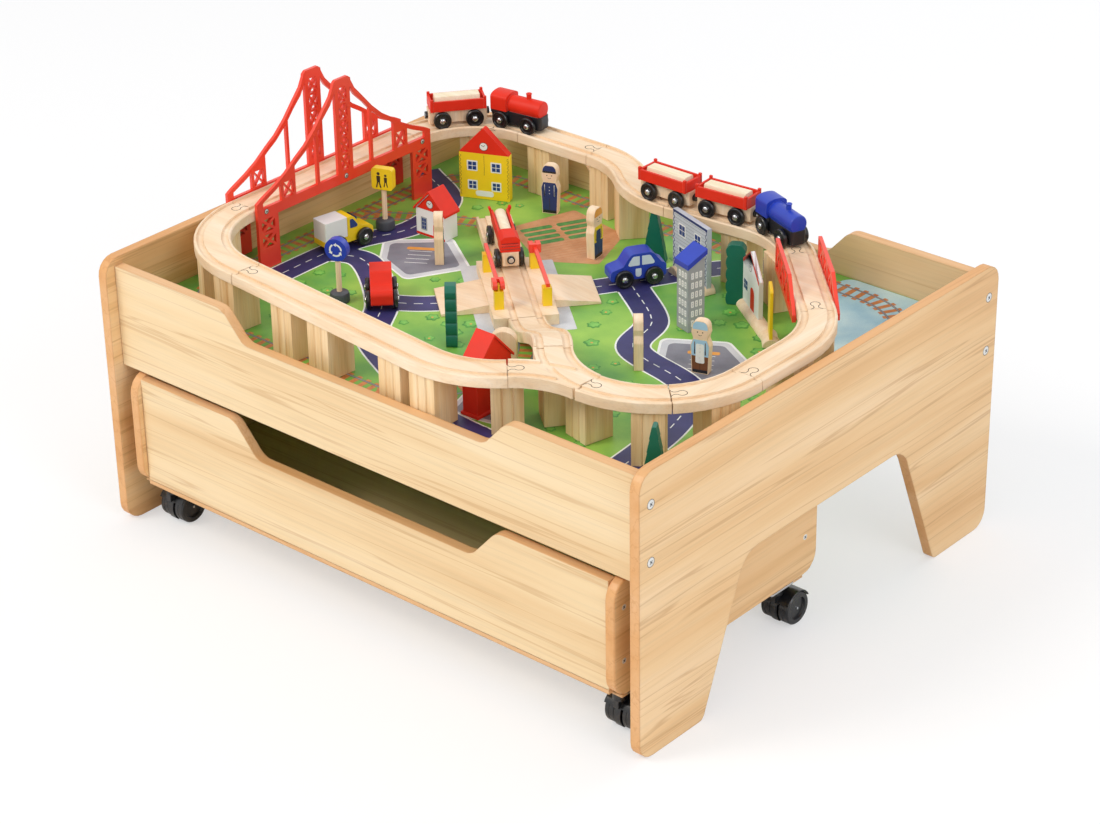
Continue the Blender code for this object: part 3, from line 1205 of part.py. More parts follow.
def figure():
    """A flat wooden person: a round head on a body that narrows at the neck."""
    wide, tall = FIGURE_WIDTH / 2, FIGURE_HEIGHT
    neck = tall * 0.66
    head = wide * 0.92
    outline = [
        (-wide * 0.85, 0), (wide * 0.85, 0), (wide * 0.92, tall * 0.3, 8 * MM), (wide, neck - 8 * MM, 5 * MM),
        (wide * 0.72, neck, 3 * MM), (head, neck + 7 * MM, 4 * MM), (head * 0.85, tall, 7 * MM),
        (-head * 0.85, tall, 7 * MM), (-head, neck + 7 * MM, 4 * MM), (-wide * 0.72, neck, 3 * MM),
        (-wide, neck - 8 * MM, 5 * MM), (-wide * 0.92, tall * 0.3, 8 * MM),
    ]
    return plate([rounded(outline, 3)], FIGURE_THICKNESS, STANDING_ALONG_X)


def tree(wavy):
    """A flat tree with scalloped or notched sides."""
    half, tall = TREE_WIDTH / 2, TREE_HEIGHT
    right = []
    count = 5
    for k in range(count):
        z0, z1 = tall * k / count, tall * (k + 1) / count
        if wavy:
            w = half * 0.75
            right += [(w * 0.8, z0), (w, z0 + (z1 - z0) * 0.3), (w, z0 + (z1 - z0) * 0.7),
                      (w * 0.8, z1)][k > 0:]
        else:
            w0, w1 = half * (1 - 0.8 * k / count), half * (1 - 0.8 * (k + 1) / count)
            right += [(w0, z0 + 2 * MM * (k > 0)), (w1 * 0.92, z1 - 2 * MM)]
    crown = [] if wavy else [(0, tall)]
    return plate([right + crown + [(-x, z) for x, z in reversed(right)]], TREE_THICKNESS, STANDING_ALONG_X)


def sign(round_plate):
    """A sign plate on a post in a round foot. The plate faces -Y."""
    foot = rod(SIGN_BASE, SIGN_BASE_HEIGHT, (0, 0, SIGN_BASE_HEIGHT / 2))
    post_top = SIGN_HEIGHT - SIGN_PLATE + 2 * MM
    post = rod(SIGN_POST, post_top - SIGN_BASE_HEIGHT + MM, (0, 0, (post_top + SIGN_BASE_HEIGHT - MM) / 2),
               (0, 0, 1), 12)
    middle = SIGN_HEIGHT - SIGN_PLATE / 2
    if round_plate:
        face = rod(SIGN_PLATE, SIGN_THICKNESS, (0, 0, middle), (0, 1, 0), 28)
    else:
        half, corner = SIGN_PLATE / 2, 4 * MM
        outline = rounded([
            (-half, middle - half, corner), (half, middle - half, corner),
            (half, middle + half, corner), (-half, middle + half, corner),
        ], 3)
        face = plate([outline], SIGN_THICKNESS, STANDING_ALONG_X)
    return combine(foot, [post, face])


def make_toys():
    board = BOARD_TOP + GAP

    def stand(obj, name, place, look):
        finish(moved(obj, local((*place_on_board(place), board), place[2])), name, look)

    width, eaves, apex, thickness = HOUSE_FRONT
    half = width / 2
    outline = [(-half, 0), (half, 0), (half, eaves), (0, apex), (-half, eaves)]
    stand(plate([outline], thickness, STANDING_ALONG_X), "yellow_house", YELLOW_HOUSE_AT, YELLOW)
    stand(gable_house(*WHITE_HOUSE), "white_house", WHITE_HOUSE_AT, WHITE)
    red_house = gable_house(*RED_HOUSE, BASE_FLANGE)
    x, y = (stem + away for stem, away in zip(SWITCH_STEM, RED_HOUSE_FROM_STEM))
    finish(moved(red_house, local((x, y, board), RED_HOUSE_TURN)), "red_house", RED)

    width, depth, low, high = TOWER_BLOCK
    half = depth / 2
    tower = plate([[(-half, 0), (half, 0), (half, high - 5 * MM), (-half, low - 5 * MM)]], width,
                  STANDING_ALONG_Y)
    cap_edge = [(-half - 2 * MM, low - 6 * MM), (half + 2 * MM, high - 6 * MM), (half + 2 * MM, high),
                (-half - 2 * MM, low)]
    cap = plate([cap_edge], width + 4 * MM, STANDING_ALONG_Y)
    stand(combine(tower, [cap]), "tower_block", TOWER_BLOCK_AT, GREY)

    width, height, thickness = HOUSE_BOARD
    face = plate([[(-width / 2, 4 * MM), (width / 2, 4 * MM), (width / 2, height), (-width / 2, height)]],
                 thickness, STANDING_ALONG_X)
    feet = []
    for side in (-1, 1):
        foot = rod(FOOT_LOG, 14 * MM, (side * (width / 2 - 6 * MM), 0, 0), (0, 1, 0), 20)
        feet.append(foot)
    facade = combine(combine(face, feet),
                     [box((2 * width, 3 * FOOT_LOG, FOOT_LOG), (0, 0, -FOOT_LOG / 2))], "DIFFERENCE")
    stand(facade, "house_front_board", HOUSE_BOARD_AT, GREY)

    width, shoulder, apex, thickness = STATION
    half = width / 2
    face = plate([[(-half, 3 * MM), (half, 3 * MM), (half, shoulder), (0, apex), (-half, shoulder)]],
                 thickness, STANDING_ALONG_X)
    log = rod(FOOT_LOG, STATION_LOG_LENGTH, ((STATION_LOG_LENGTH - width) / 2, 0, 0), (1, 0, 0), 20)
    station = combine(face, [log])
    below = box((3 * STATION_LOG_LENGTH, 2 * FOOT_LOG, FOOT_LOG), (0, 0, -FOOT_LOG / 2))
    stand(combine(station, [below], "DIFFERENCE"), "station_panel", STATION_AT, WHITE)

    for name, place in FIGURES_AT.items():
        stand(figure(), name, place, PALE_WOOD)
    stand(tree(True), "wavy_tree", WAVY_TREE_AT, GREEN)
    stand(tree(False), "corner_tree", CORNER_TREE_AT, GREEN)
    stand(sign(False), "yellow_sign", YELLOW_SIGN_AT, YELLOW)
    stand(sign(True), "blue_sign", BLUE_SIGN_AT, BLUE)


make_table()
make_drawer()
make_casters()
make_tracks()
make_switch()
make_ramp()
make_crossing()
make_bridges()
make_trains()
make_cars()
make_toys()
helpers.hide_render = True
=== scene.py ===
import bmesh
import bpy
import math
import numpy as np
from mathutils import Matrix, Vector


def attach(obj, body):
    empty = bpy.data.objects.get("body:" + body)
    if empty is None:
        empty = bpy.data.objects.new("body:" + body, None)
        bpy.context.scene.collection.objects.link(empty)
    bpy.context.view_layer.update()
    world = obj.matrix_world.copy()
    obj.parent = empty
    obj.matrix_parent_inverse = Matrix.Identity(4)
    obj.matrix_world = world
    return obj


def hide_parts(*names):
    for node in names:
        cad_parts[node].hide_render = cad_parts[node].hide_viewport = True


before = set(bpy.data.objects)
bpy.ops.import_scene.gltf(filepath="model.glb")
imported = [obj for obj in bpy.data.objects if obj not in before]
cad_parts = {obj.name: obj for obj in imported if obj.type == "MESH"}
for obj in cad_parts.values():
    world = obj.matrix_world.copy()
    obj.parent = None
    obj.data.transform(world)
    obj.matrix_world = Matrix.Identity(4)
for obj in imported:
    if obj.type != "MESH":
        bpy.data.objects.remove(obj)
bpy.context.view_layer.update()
print("frame loaded:", len(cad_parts), "nodes")

# Sizes are in millimetres and turned to metres when a mesh is made.
mm = 0.001
boardTop = 258.0
standing = boardTop + 0.3  # what stands on the board rests a hair over its print
railTop = 330.0
trackThick = 12.0
grooveDepth = 2.5
seatGap = 0.3  # between a wheel and the bottom of its groove
sharpAngle = math.radians(32)
crossing = {"x": -49.5, "y": 8.6, "heading": 139.5}


# Colours are written as sRGB hex and turned to the linear values that shaders use.
def linear(hexText):
    v = np.array([int(hexText[k:k + 2], 16) for k in (1, 3, 5)]) / 255
    return (*np.where(v <= 0.04045, v / 12.92, ((v + 0.055) / 1.055) ** 2.4), 1.0)


# Adds one shader node with its properties, ramp stops and sockets. A socket given an output is linked.
def addNode(tree, kind, settings=None, stops=(), **sockets):
    node = tree.nodes.new(kind)
    for key, value in (settings or {}).items():
        setattr(node, key, value)
    for key, value in sockets.items():
        socket = node.inputs[int(key[1:])] if key[1:].isdigit() else node.inputs[key.replace("_", " ")]
        if isinstance(value, bpy.types.NodeSocket):
            tree.links.new(value, socket)
        else:
            socket.default_value = value
    if stops:
        marks = node.color_ramp.elements
        while len(marks) < len(stops):
            marks.new(0.5)
        for mark, (place, colour) in zip(marks, stops):
            mark.position = place
            mark.color = linear(colour) if isinstance(colour, str) else (colour, colour, colour, 1)
    return node


# An empty material with its shader linked to its output.
def newFinish(name):
    finish = bpy.data.materials.new(name)
    finish.use_nodes = True
    tree = finish.node_tree
    tree.nodes.clear()
    shader = addNode(tree, "ShaderNodeBsdfPrincipled")
    addNode(tree, "ShaderNodeOutputMaterial", s0=shader.outputs[0])
    return finish, tree, shader


mixColours = {"data_type": "RGBA"}
multiplyColours = {"data_type": "RGBA", "blend_type": "MULTIPLY"}
multiply = {"operation": "MULTIPLY"}
woodLook = {"turn": (0, 0, 0), "swirl": 0.5, "fibre": (2.5, 9), "fibreDark": 0.8, "fibreAmount": 0.7,
            "streakWay": (0.9, 2.4), "round": 0.8, "relief": 0.12}


# Timber: long soft bands and fine fibres, both noise stretched along the grain.
# Noise scale on an axis = factor / grain size, with one factor along the grain and one across it.
def woodFinish(name, ownLook):
    look = {**woodLook, **ownLook}
    finish, tree, shader = newFinish(name)
    coords = addNode(tree, "ShaderNodeTexCoord")
    longWay = look["grain"].index(max(look["grain"]))

    def grainNoise(along, aside, **settings):
        scale = [1 / mm / size * (along if k == longWay else aside) for k, size in enumerate(look["grain"])]
        stretched = addNode(tree, "ShaderNodeMapping", Vector=coords.outputs["Object"],
                            Rotation=look["turn"], Scale=scale)
        return addNode(tree, "ShaderNodeTexNoise", Vector=stretched.outputs[0], Scale=1.0,
                       **settings).outputs["Fac"]

    wide = grainNoise(1, 1, Detail=5.0, Roughness=0.55, Distortion=look["swirl"])
    fibre = grainNoise(*look["fibre"], Detail=3.0, Roughness=0.6)
    colour = addNode(tree, "ShaderNodeValToRGB", stops=look["bands"], s0=wide).outputs[0]
    fleck = addNode(tree, "ShaderNodeValToRGB", stops=((0.34, look["fibreDark"]), (0.52, 1.0)), s0=fibre)
    flecked = addNode(tree, "ShaderNodeMix", multiplyColours, s0=1.0, s6=colour, s7=fleck.outputs[0])
    colour = addNode(tree, "ShaderNodeMix", mixColours, s0=look["fibreAmount"], s6=colour,
                     s7=flecked.outputs[2]).outputs[2]
    if "streak" in look:
        line = grainNoise(*look["streakWay"], Detail=3.0, Distortion=0.35)
        thin = addNode(tree, "ShaderNodeValToRGB",
                       stops=((0.48, 0.0), (0.498, 1.0), (0.502, 1.0), (0.52, 0.0)), s0=line)
        amount = addNode(tree, "ShaderNodeMath", multiply, s0=thin.outputs[0], s1=look["streakAmount"])
        colour = addNode(tree, "ShaderNodeMix", mixColours, s0=amount.outputs[0], s6=colour,
                         s7=linear(look["streak"])).outputs[2]
    if "edge" in look:
        across = addNode(tree, "ShaderNodeVectorMath", {"operation": "DOT_PRODUCT"},
                         s0=coords.outputs["Normal"], s1=look["face"])
        steep = addNode(tree, "ShaderNodeMath", {"operation": "ABSOLUTE"}, s0=across.outputs["Value"])
        flat = addNode(tree, "ShaderNodeMath", {"operation": "GREATER_THAN"}, s0=steep.outputs[0], s1=0.75)
        banding = addNode(tree, "ShaderNodeMix", mixColours, s0=0.5, s6=colour, s7=linear(look["edge"]))
        colour = addNode(tree, "ShaderNodeMix", mixColours, s0=flat.outputs[0], s6=banding.outputs[2],
                         s7=colour).outputs[2]
    tree.links.new(colour, shader.inputs["Base Color"])
    shine = addNode(tree, "ShaderNodeMapRange", s0=fibre, s3=look["roughness"] + 0.08,
                    s4=look["roughness"] - 0.06)
    tree.links.new(shine.outputs[0], shader.inputs["Roughness"])
    soft = addNode(tree, "ShaderNodeBevel", {"samples": 3}, Radius=look["round"] * mm)
    bump = addNode(tree, "ShaderNodeBump", Strength=look["relief"], Distance=0.4 * mm, Height=fibre,
                   Normal=soft.outputs[0])
    tree.links.new(bump.outputs[0], shader.inputs["Normal"])
    return finish


coatLook = {"drift": 18, "peel": 1.6, "tint": 0.1, "round": 0.7, "rub": 0.0, "rubbed": "#f4d8c8",
            "metallic": 0.0, "specular": 0.5, "coat": 0.0, "relief": 0.06}


# Paint or moulded plastic: a body colour that drifts a little, fine orange peel, and rubbed lighter corners.
# Wear = noise * rub where the softened normal leans away from the true one.
def coatFinish(name, ownLook):
    look = {**coatLook, **ownLook}
    finish, tree, shader = newFinish(name)
    place = addNode(tree, "ShaderNodeTexCoord").outputs["Object"]
    drift = addNode(tree, "ShaderNodeTexNoise", Vector=place, Scale=1 / mm / look["drift"],
                    Detail=4.0).outputs["Fac"]
    peel = addNode(tree, "ShaderNodeTexNoise", Vector=place, Scale=1 / mm / look["peel"],
                   Detail=2.0).outputs["Fac"]
    shade = addNode(tree, "ShaderNodeValToRGB", stops=((0.3, 1.0 - look["tint"]), (0.7, 1.0)), s0=drift)
    colour = addNode(tree, "ShaderNodeMix", multiplyColours, s0=1.0, s6=linear(look["colour"]),
                     s7=shade.outputs[0]).outputs[2]
    soft = addNode(tree, "ShaderNodeBevel", {"samples": 3}, Radius=look["round"] * mm).outputs[0]
    if look["rub"]:
        geometry = addNode(tree, "ShaderNodeNewGeometry")
        agree = addNode(tree, "ShaderNodeVectorMath", {"operation": "DOT_PRODUCT"}, s0=soft,
                        s1=geometry.outputs["Normal"])
        corner = addNode(tree, "ShaderNodeMapRange", s0=agree.outputs["Value"], s1=0.99, s2=0.80,
                         s3=0.0, s4=1.0)
        patchy = addNode(tree, "ShaderNodeMath", multiply, s0=drift, s1=look["rub"])
        worn = addNode(tree, "ShaderNodeMath", multiply, s0=corner.outputs[0], s1=patchy.outputs[0])
        colour = addNode(tree, "ShaderNodeMix", mixColours, s0=worn.outputs[0], s6=colour,
                         s7=linear(look["rubbed"])).outputs[2]
    tree.links.new(colour, shader.inputs["Base Color"])
    shine = addNode(tree, "ShaderNodeMapRange", s0=drift, s3=look["roughness"] - 0.04,
                    s4=look["roughness"] + 0.06)
    tree.links.new(shine.outputs[0], shader.inputs["Roughness"])
    shader.inputs["Metallic"].default_value = look["metallic"]
    shader.inputs["IOR"].default_value = 1.5
    shader.inputs["Specular IOR Level"].default_value = look["specular"]
    shader.inputs["Coat Weight"].default_value = look["coat"]
    bump = addNode(tree, "ShaderNodeBump", Strength=look["relief"], Distance=0.2 * mm,
                   Height=peel, Normal=soft)
    tree.links.new(bump.outputs[0], shader.inputs["Normal"])
    return finish


printLook = {"speck": 1.2, "roughness": 0.42, "relief": 0.05}


# Ink on the board: flat colour broken by cloudy mottling and fine specks.
def printFinish(name, cloud, colours):
    finish, tree, shader = newFinish(name)
    place = addNode(tree, "ShaderNodeTexCoord").outputs["Object"]
    mottle = addNode(tree, "ShaderNodeTexNoise", Vector=place, Scale=1 / mm / cloud, Detail=6.0)
    speck = addNode(tree, "ShaderNodeTexNoise", Vector=place, Scale=1 / mm / printLook["speck"],
                    Detail=1.0).outputs["Fac"]
    colour = addNode(tree, "ShaderNodeValToRGB", stops=colours, s0=mottle.outputs["Fac"])
    dots = addNode(tree, "ShaderNodeValToRGB", stops=((0.35, 0.93), (0.6, 1.0)), s0=speck)
    colour = addNode(tree, "ShaderNodeMix", multiplyColours, s0=1.0, s6=colour.outputs[0], s7=dots.outputs[0])
    tree.links.new(colour.outputs[2], shader.inputs["Base Color"])
    shine = addNode(tree, "ShaderNodeMapRange", s0=speck, s3=printLook["roughness"],
                    s4=printLook["roughness"] + 0.1)
    tree.links.new(shine.outputs[0], shader.inputs["Roughness"])
    bump = addNode(tree, "ShaderNodeBump", Strength=printLook["relief"], Distance=0.2 * mm, Height=speck)
    tree.links.new(bump.outputs[0], shader.inputs["Normal"])
    return finish


# Timber colours run from the dark of the growth lines to the pale wood between them.
oakBands = ((0.24, "#dab27e"), (0.42, "#e8c796"), (0.56, "#eed2a4"), (0.76, "#f4deb8"))
beechBands = ((0.26, "#edcba2"), (0.48, "#f5d9b5"), (0.74, "#fbe6ca"))
pineBands = ((0.25, "#dfb47c"), (0.45, "#f1cf9c"), (0.72, "#fae1b8"))
panelBands = ((0.26, "#d3a067"), (0.43, "#e4b880"), (0.57, "#ebc591"), (0.74, "#f2d2a6"))
birchBands = ((0.3, "#efdcb6"), (0.7, "#fbefd6"))
panelLook = {"grain": (46, 760, 46), "bands": panelBands, "roughness": 0.42, "streak": "#b5814c",
             "streakAmount": 0.42, "fibre": (4.5, 13), "fibreDark": 0.9, "edge": "#d98f48",
             "face": (1, 0, 0), "round": 2.2, "swirl": 0.3}
railLook = {**panelLook, "grain": (760, 46, 46), "bands": oakBands, "streak": "#c3945c", "face": (0, 1, 0)}
trackLook = {"grain": (120, 16, 16), "bands": beechBands, "roughness": 0.5, "fibreDark": 0.9, "round": 0.9}
pillarLook = {"grain": (12, 12, 150), "bands": pineBands, "roughness": 0.52, "fibreDark": 0.86}
woodLooks = {
    "oakPanel": panelLook,  # lacquered oak board: broad figure, warm banded edges
    "oakRail": railLook,
    "oakFloor": {**railLook, "face": (0, 0, 1)},
    "beechTrack": trackLook,  # sanded beech: close even grain, almost no lustre
    "beechTrackTurned": {**trackLook, "grain": (16, 120, 16)},
    "beechTrackSlant": {**trackLook, "turn": (0, 0, math.radians(180 - crossing["heading"]))},
    "pinePillar": pillarLook,  # planed pine: upright growth lines
    "bareToy": {**pillarLook, "bands": beechBands, "grain": (9, 9, 80)},
    "birchLoad": {**pillarLook, "bands": birchBands, "grain": (60, 8, 8), "round": 0.5},
}
fineLook = {"roughness": 0.5, "round": 0.1}  # ink and thin paint on the toys' faces
paneLook = {"roughness": 0.3, "round": 0.2}
plateLook = {"tint": 0.06, "relief": 0.03, "round": 0.25}
coatLooks = {
    "redPlastic": {"colour": "#f5432c", "roughness": 0.3, "tint": 0.05, "round": 0.6,
                   "coat": 0.15},  # moulded ABS: even, glossy, soft corners
    "redPaint": {"colour": "#e8301a", "roughness": 0.46, "specular": 0.25, "rub": 0.3},  # brushed enamel
    "bluePaint": {"colour": "#2340b8", "roughness": 0.36, "rub": 0.35, "rubbed": "#7f8fd8"},
    "yellowPaint": {"colour": "#fbd51c", "roughness": 0.38, "tint": 0.06, "rub": 0.3, "rubbed": "#fff0b0"},
    "whitePaint": {"colour": "#f1f1ef", "roughness": 0.4, "tint": 0.04},
    "greyPaint": {"colour": "#a3a8ac", "roughness": 0.42},
    "greenPaint": {"colour": "#0e6a54", "roughness": 0.4, "rub": 0.3, "rubbed": "#4f9a84"},
    "blackPaint": {"colour": "#1c1d22", "roughness": 0.4, "rub": 0.3, "rubbed": "#55565c"},
    "blackPlastic": {"colour": "#131417", "roughness": 0.28, "coat": 0.2},
    "darkPlastic": {"colour": "#4b4f55", "roughness": 0.45},
    "steel": {**plateLook, "colour": "#c9cbcd", "roughness": 0.22, "metallic": 1.0,
              "tint": 0.08},  # nickel-plated: bright, faint brushing
    "screwPlate": {**plateLook, "colour": "#e3e3df", "roughness": 0.34, "metallic": 0.55},  # pale zinc plate
    "paleGrey": {"colour": "#c9cfd8", "roughness": 0.45},
    "windowDark": {**paneLook, "colour": "#22407f"},
    "windowPale": {**paneLook, "colour": "#dfe9f6"},
    "inkLine": {**fineLook, "colour": "#3a2a1c", "roughness": 0.6},
    "navyCloth": {**fineLook, "colour": "#22346c"},
    "skyPaint": {**fineLook, "colour": "#a9cfe8"},
    "brownPaint": {**fineLook, "colour": "#7a4a2a"},
    "pavementInk": {**fineLook, "colour": "#868d95", "roughness": 0.6},
    "skin": {**fineLook, "colour": "#f3d3b4"},
}
# Printed inks: the size of the mottling, and the colours that it runs between.
printLooks = {
    "grass": (95, ((0.30, "#4f9a4a"), (0.48, "#7fb84a"), (0.66, "#a3cf55"))),
    "leaf": (9, ((0.35, "#3d8a34"), (0.65, "#5aa840"))),
    "leafLight": (9, ((0.35, "#63b046"), (0.65, "#86c95a"))),
    "road": (30, ((0.3, "#2b2a5c"), (0.7, "#3b3a74"))),
    "kerb": (20, ((0.3, "#e9efe2"), (0.7, "#ffffff"))),
    "yard": (25, ((0.3, "#7b7b86"), (0.7, "#8f909a"))),
    "pavement": (25, ((0.3, "#c9ccd0"), (0.7, "#dddfe2"))),
    "field": (14, ((0.3, "#c78a5c"), (0.7, "#dba57a"))),
    "furrow": (8, ((0.3, "#3f8043"), (0.7, "#5d9c4c"))),
    "sleeper": (6, ((0.3, "#bf6f38"), (0.7, "#dc8f52"))),
    "railEdge": (10, ((0.3, "#4c4e55"), (0.7, "#5c5e66"))),
    "ironRail": (10, ((0.3, "#7d7f84"), (0.7, "#9c9ea4"))),
    "water": (60, ((0.36, "#8fc6dc"), (0.5, "#b5dde8"), (0.62, "#cdebee"))),
    "orange": (14, ((0.3, "#e79a3e"), (0.7, "#f2ab50"))),
}
wood = {name: woodFinish(name, look) for name, look in woodLooks.items()}
coat = {name: coatFinish(name, look) for name, look in coatLooks.items()}
printed = {name: printFinish(f"printed{name[0].upper()}{name[1:]}", *look)
           for name, look in printLooks.items()}
print("finishes:", len(wood) + len(coat) + len(printed))


# Quads of a grid of points, as rows of four indices; each direction may close on itself.
def gridFaces(rows, cols, closeRows=False, closeCols=True):
    r = np.arange(rows if closeRows else rows - 1)[:, None]
    c = np.arange(cols if closeCols else cols - 1)[None]
    r1, c1 = (r + 1) % rows, (c + 1) % cols
    return np.stack([r * cols + c, r * cols + c1, r1 * cols + c1, r1 * cols + c], -1).reshape(-1, 4).tolist()


# Circle: point = radius * (cos t, sin t) for equal steps of t, moved to its middle.
def disc(radius, sides=32, middle=(0, 0)):
    t = np.linspace(0, 2 * math.pi, sides, endpoint=False)
    return radius * np.stack([np.cos(t), np.sin(t)], -1) + np.array(middle)


# Arc: the same point for steps of t between two angles in radians.
def arc(radius, first, last, steps, middle=(0, 0)):
    t = np.linspace(first, last, steps)
    return radius * np.stack([np.cos(t), np.sin(t)], -1) + np.array(middle)


# Turned shape: point = (radius cos t, radius sin t, height), for each radius and height of the profile.
def turned(profile, sides=32):
    p = np.array(profile, float)
    points = np.concatenate([p[:, None, :1] * disc(1, sides)[None], np.repeat(p[:, None, 1:], sides, 1)], -1)
    return points.reshape(-1, 3), gridFaces(len(p), sides)


# Prism: an outline in the x, y plane, repeated at two heights, with a face on each end.
def prism(outline, low, high):
    o = np.array(outline, float)
    if np.sum(o[:, 0] * np.roll(o[:, 1], -1) - np.roll(o[:, 0], -1) * o[:, 1]) < 0:
        o = o[::-1]
    n = len(o)
    points = np.concatenate([np.c_[o, np.full(n, low)], np.c_[o, np.full(n, high)]])
    return points, gridFaces(2, n) + [list(range(n))[::-1], list(range(n, 2 * n))]


# An outline whose corners (x, y, radius) are arcs: each arc's centre is radius from both sides.
def rounded(corners, steps=6):
    found = []
    count = len(corners)
    for k, (x, y, *more) in enumerate(corners):
        here = np.array((x, y), float)
        radius = more[0] if more else 0
        if not radius:
            found.append(here[None])
            continue
        a = np.array(corners[k - 1][:2], float) - here
        b = np.array(corners[(k + 1) % count][:2], float) - here
        a, b = a / np.hypot(*a), b / np.hypot(*b)
        half = math.acos(np.clip(a @ b, -1, 1)) / 2
        centre = here + (a + b) / np.hypot(*(a + b)) * radius / math.sin(half)
        start, end = here + a * radius / math.tan(half) - centre, here + b * radius / math.tan(half) - centre
        sweep = math.atan2(start[0] * end[1] - start[1] * end[0], start @ end)
        first = math.atan2(start[1], start[0])
        found.append(arc(radius, first, first + sweep, steps + 1, centre))
    return np.concatenate(found)


# Upright rectangle from its left, right, bottom and top, with one radius or a lower and an upper one.
def oblong(left, right, low, high, radius=0.0, upper=None, steps=6):
    top = radius if upper is None else upper
    return rounded([(left, low, radius), (right, low, radius), (right, high, top), (left, high, top)], steps)


# Slab: a prism over a rectangle round a centre, with upright corner edges of one radius.
def slab(size, centre, radius=0.0, steps=4):
    x, y, z = (s / 2 for s in size)
    points, faces = prism(oblong(-x, x, -y, y, radius, steps=steps), -z, z)
    return points + np.array(centre), faces


# Moves a shape by a matrix: point' = rotation * point + offset.
def placed(shape, matrix):
    m = np.array(matrix)
    return shape[0] @ m[:3, :3].T + m[:3, 3], shape[1]


# Place on the floor plan: a turn about z by the heading in degrees, then a move.
def spot(x, y, z=0.0, heading=0.0):
    return Matrix.Translation((x, y, z)) @ Matrix.Rotation(math.radians(heading), 4, "Z")


# A place for what stands on the board.
def onBoard(x, y, heading):
    return spot(x, y, standing, heading)


upright = Matrix.Rotation(math.pi / 2, 4, "X")  # outline x, y stand in the x, z plane, facing -y
endOn = Matrix.Rotation(math.pi / 2, 4, "Z") @ upright  # outline x, y stand in the y, z plane
alongX = Matrix.Rotation(math.pi / 2, 4, "Y")
alongY = Matrix.Rotation(-math.pi / 2, 4, "X")
halfTurn = Matrix.Rotation(math.pi, 4, "Z")


# Thin relief on a face at y: an outline in x, z from a low to a high step out of that face.
def onFace(outline, y, low=0.0, high=0.16):
    return placed(prism(outline, low, high), Matrix.Translation((0, y, 0)) @ upright)


# Shapes with their finishes, all moved by one matrix.
def moved(parts, matrix):
    return [(placed(shape, matrix), finish) for shape, finish in parts]


# Relief drawn once and repeated on the back by a half turn.
def bothFaces(detail):
    return detail + moved(detail, halfTurn)


# Makes a mesh an object that rides on its body and stands for the nodes that it replaces.
def ridePiece(mesh, name, body, replaces=()):
    piece = bpy.data.objects.new(name, mesh)
    bpy.context.scene.collection.objects.link(piece)
    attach(piece, body)
    if replaces:
        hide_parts(*replaces)
    return piece


# Joins shapes with their finishes into one mesh, with its doubles merged and its corners a little round.
def makePiece(name, parts, body, replaces=(), bevel=0.0, place=None):
    points, faces, which, finishes = [], [], [], []
    offset = 0
    for shape, finish in parts:
        p, f = placed(shape, place) if place is not None else shape
        if finish not in finishes:
            finishes.append(finish)
        points.append(p)
        faces += [[k + offset for k in face] for face in f]
        which += [finishes.index(finish)] * len(f)
        offset += len(p)
    mesh = bpy.data.meshes.new(name)
    mesh.from_pydata((np.concatenate(points) * mm).tolist(), [], faces)
    for finish in finishes:
        mesh.materials.append(finish)
    mesh.polygons.foreach_set("material_index", which)
    work = bmesh.new()
    work.from_mesh(mesh)
    bmesh.ops.remove_doubles(work, verts=work.verts, dist=0.002 * mm)
    bmesh.ops.recalc_face_normals(work, faces=work.faces)
    work.to_mesh(mesh)
    work.free()
    mesh.shade_smooth()
    piece = ridePiece(mesh, name, body, replaces)
    if bevel:
        corner = piece.modifiers.new("corner", "BEVEL")
        corner.width = bevel * mm
        corner.segments = 2
        corner.limit_method = "ANGLE"
        corner.angle_limit = sharpAngle
        corner.miter_outer = "MITER_ARC"
        normals = piece.modifiers.new("normals", "WEIGHTED_NORMAL")
        normals.keep_sharp = True
    else:
        mesh.set_sharp_from_angle(angle=sharpAngle)


# A smooth-shaded copy of a solid from the frame, with its loose triangles merged. Where choose is given, it
# says from the height of a face's centre whether the face takes the second finish.
def smoothCopy(node, name, finishes, body, choose=None):
    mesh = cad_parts[node].data.copy()
    mesh.name = name
    for layer in list(mesh.attributes):
        if layer.name == "custom_normal":
            mesh.attributes.remove(layer)
    work = bmesh.new()
    work.from_mesh(mesh)
    bmesh.ops.remove_doubles(work, verts=work.verts, dist=0.005 * mm)
    bmesh.ops.dissolve_limit(work, angle_limit=math.radians(0.5), verts=work.verts, edges=work.edges)
    work.to_mesh(mesh)
    work.free()
    mesh.materials.clear()
    for finish in finishes:
        mesh.materials.append(finish)
    count = len(mesh.polygons)
    which = np.zeros(count, int)
    if choose:
        centre = np.zeros(count * 3)
        mesh.polygons.foreach_get("center", centre)
        which = choose(centre.reshape(-1, 3)[:, 2] / mm).astype(int)
    mesh.polygons.foreach_set("material_index", which.tolist())
    mesh.shade_smooth()
    mesh.set_sharp_from_angle(angle=sharpAngle)
    ridePiece(mesh, name, body, [node])


# Gives a solid of the frame that stays in view its finish.
def dress(node, finish):
    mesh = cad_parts[node].data
    mesh.materials.clear()
    mesh.materials.append(finish)


# Table: the flat-sided solids stay and take oak.
for node in ("left_end_panel", "right_end_panel", "drawer_left_side", "drawer_right_side"):
    dress(node, wood["oakPanel"])
for node in ("front_rail", "back_rail", "drawer_front", "drawer_back"):
    dress(node, wood["oakRail"])
dress("drawer_floor", wood["oakFloor"])
dress("board_battens", wood["pinePillar"])
dress("play_board", printed["grass"])
print("table dressed")


# The pillars' faces lie under the track's lower face.
def underTrack(z):
    return z < railTop - trackThick - 0.4


# The crossing's yellow posts rise over its planks.
def overPlanks(z):
    return z > standing + trackThick + 0.6


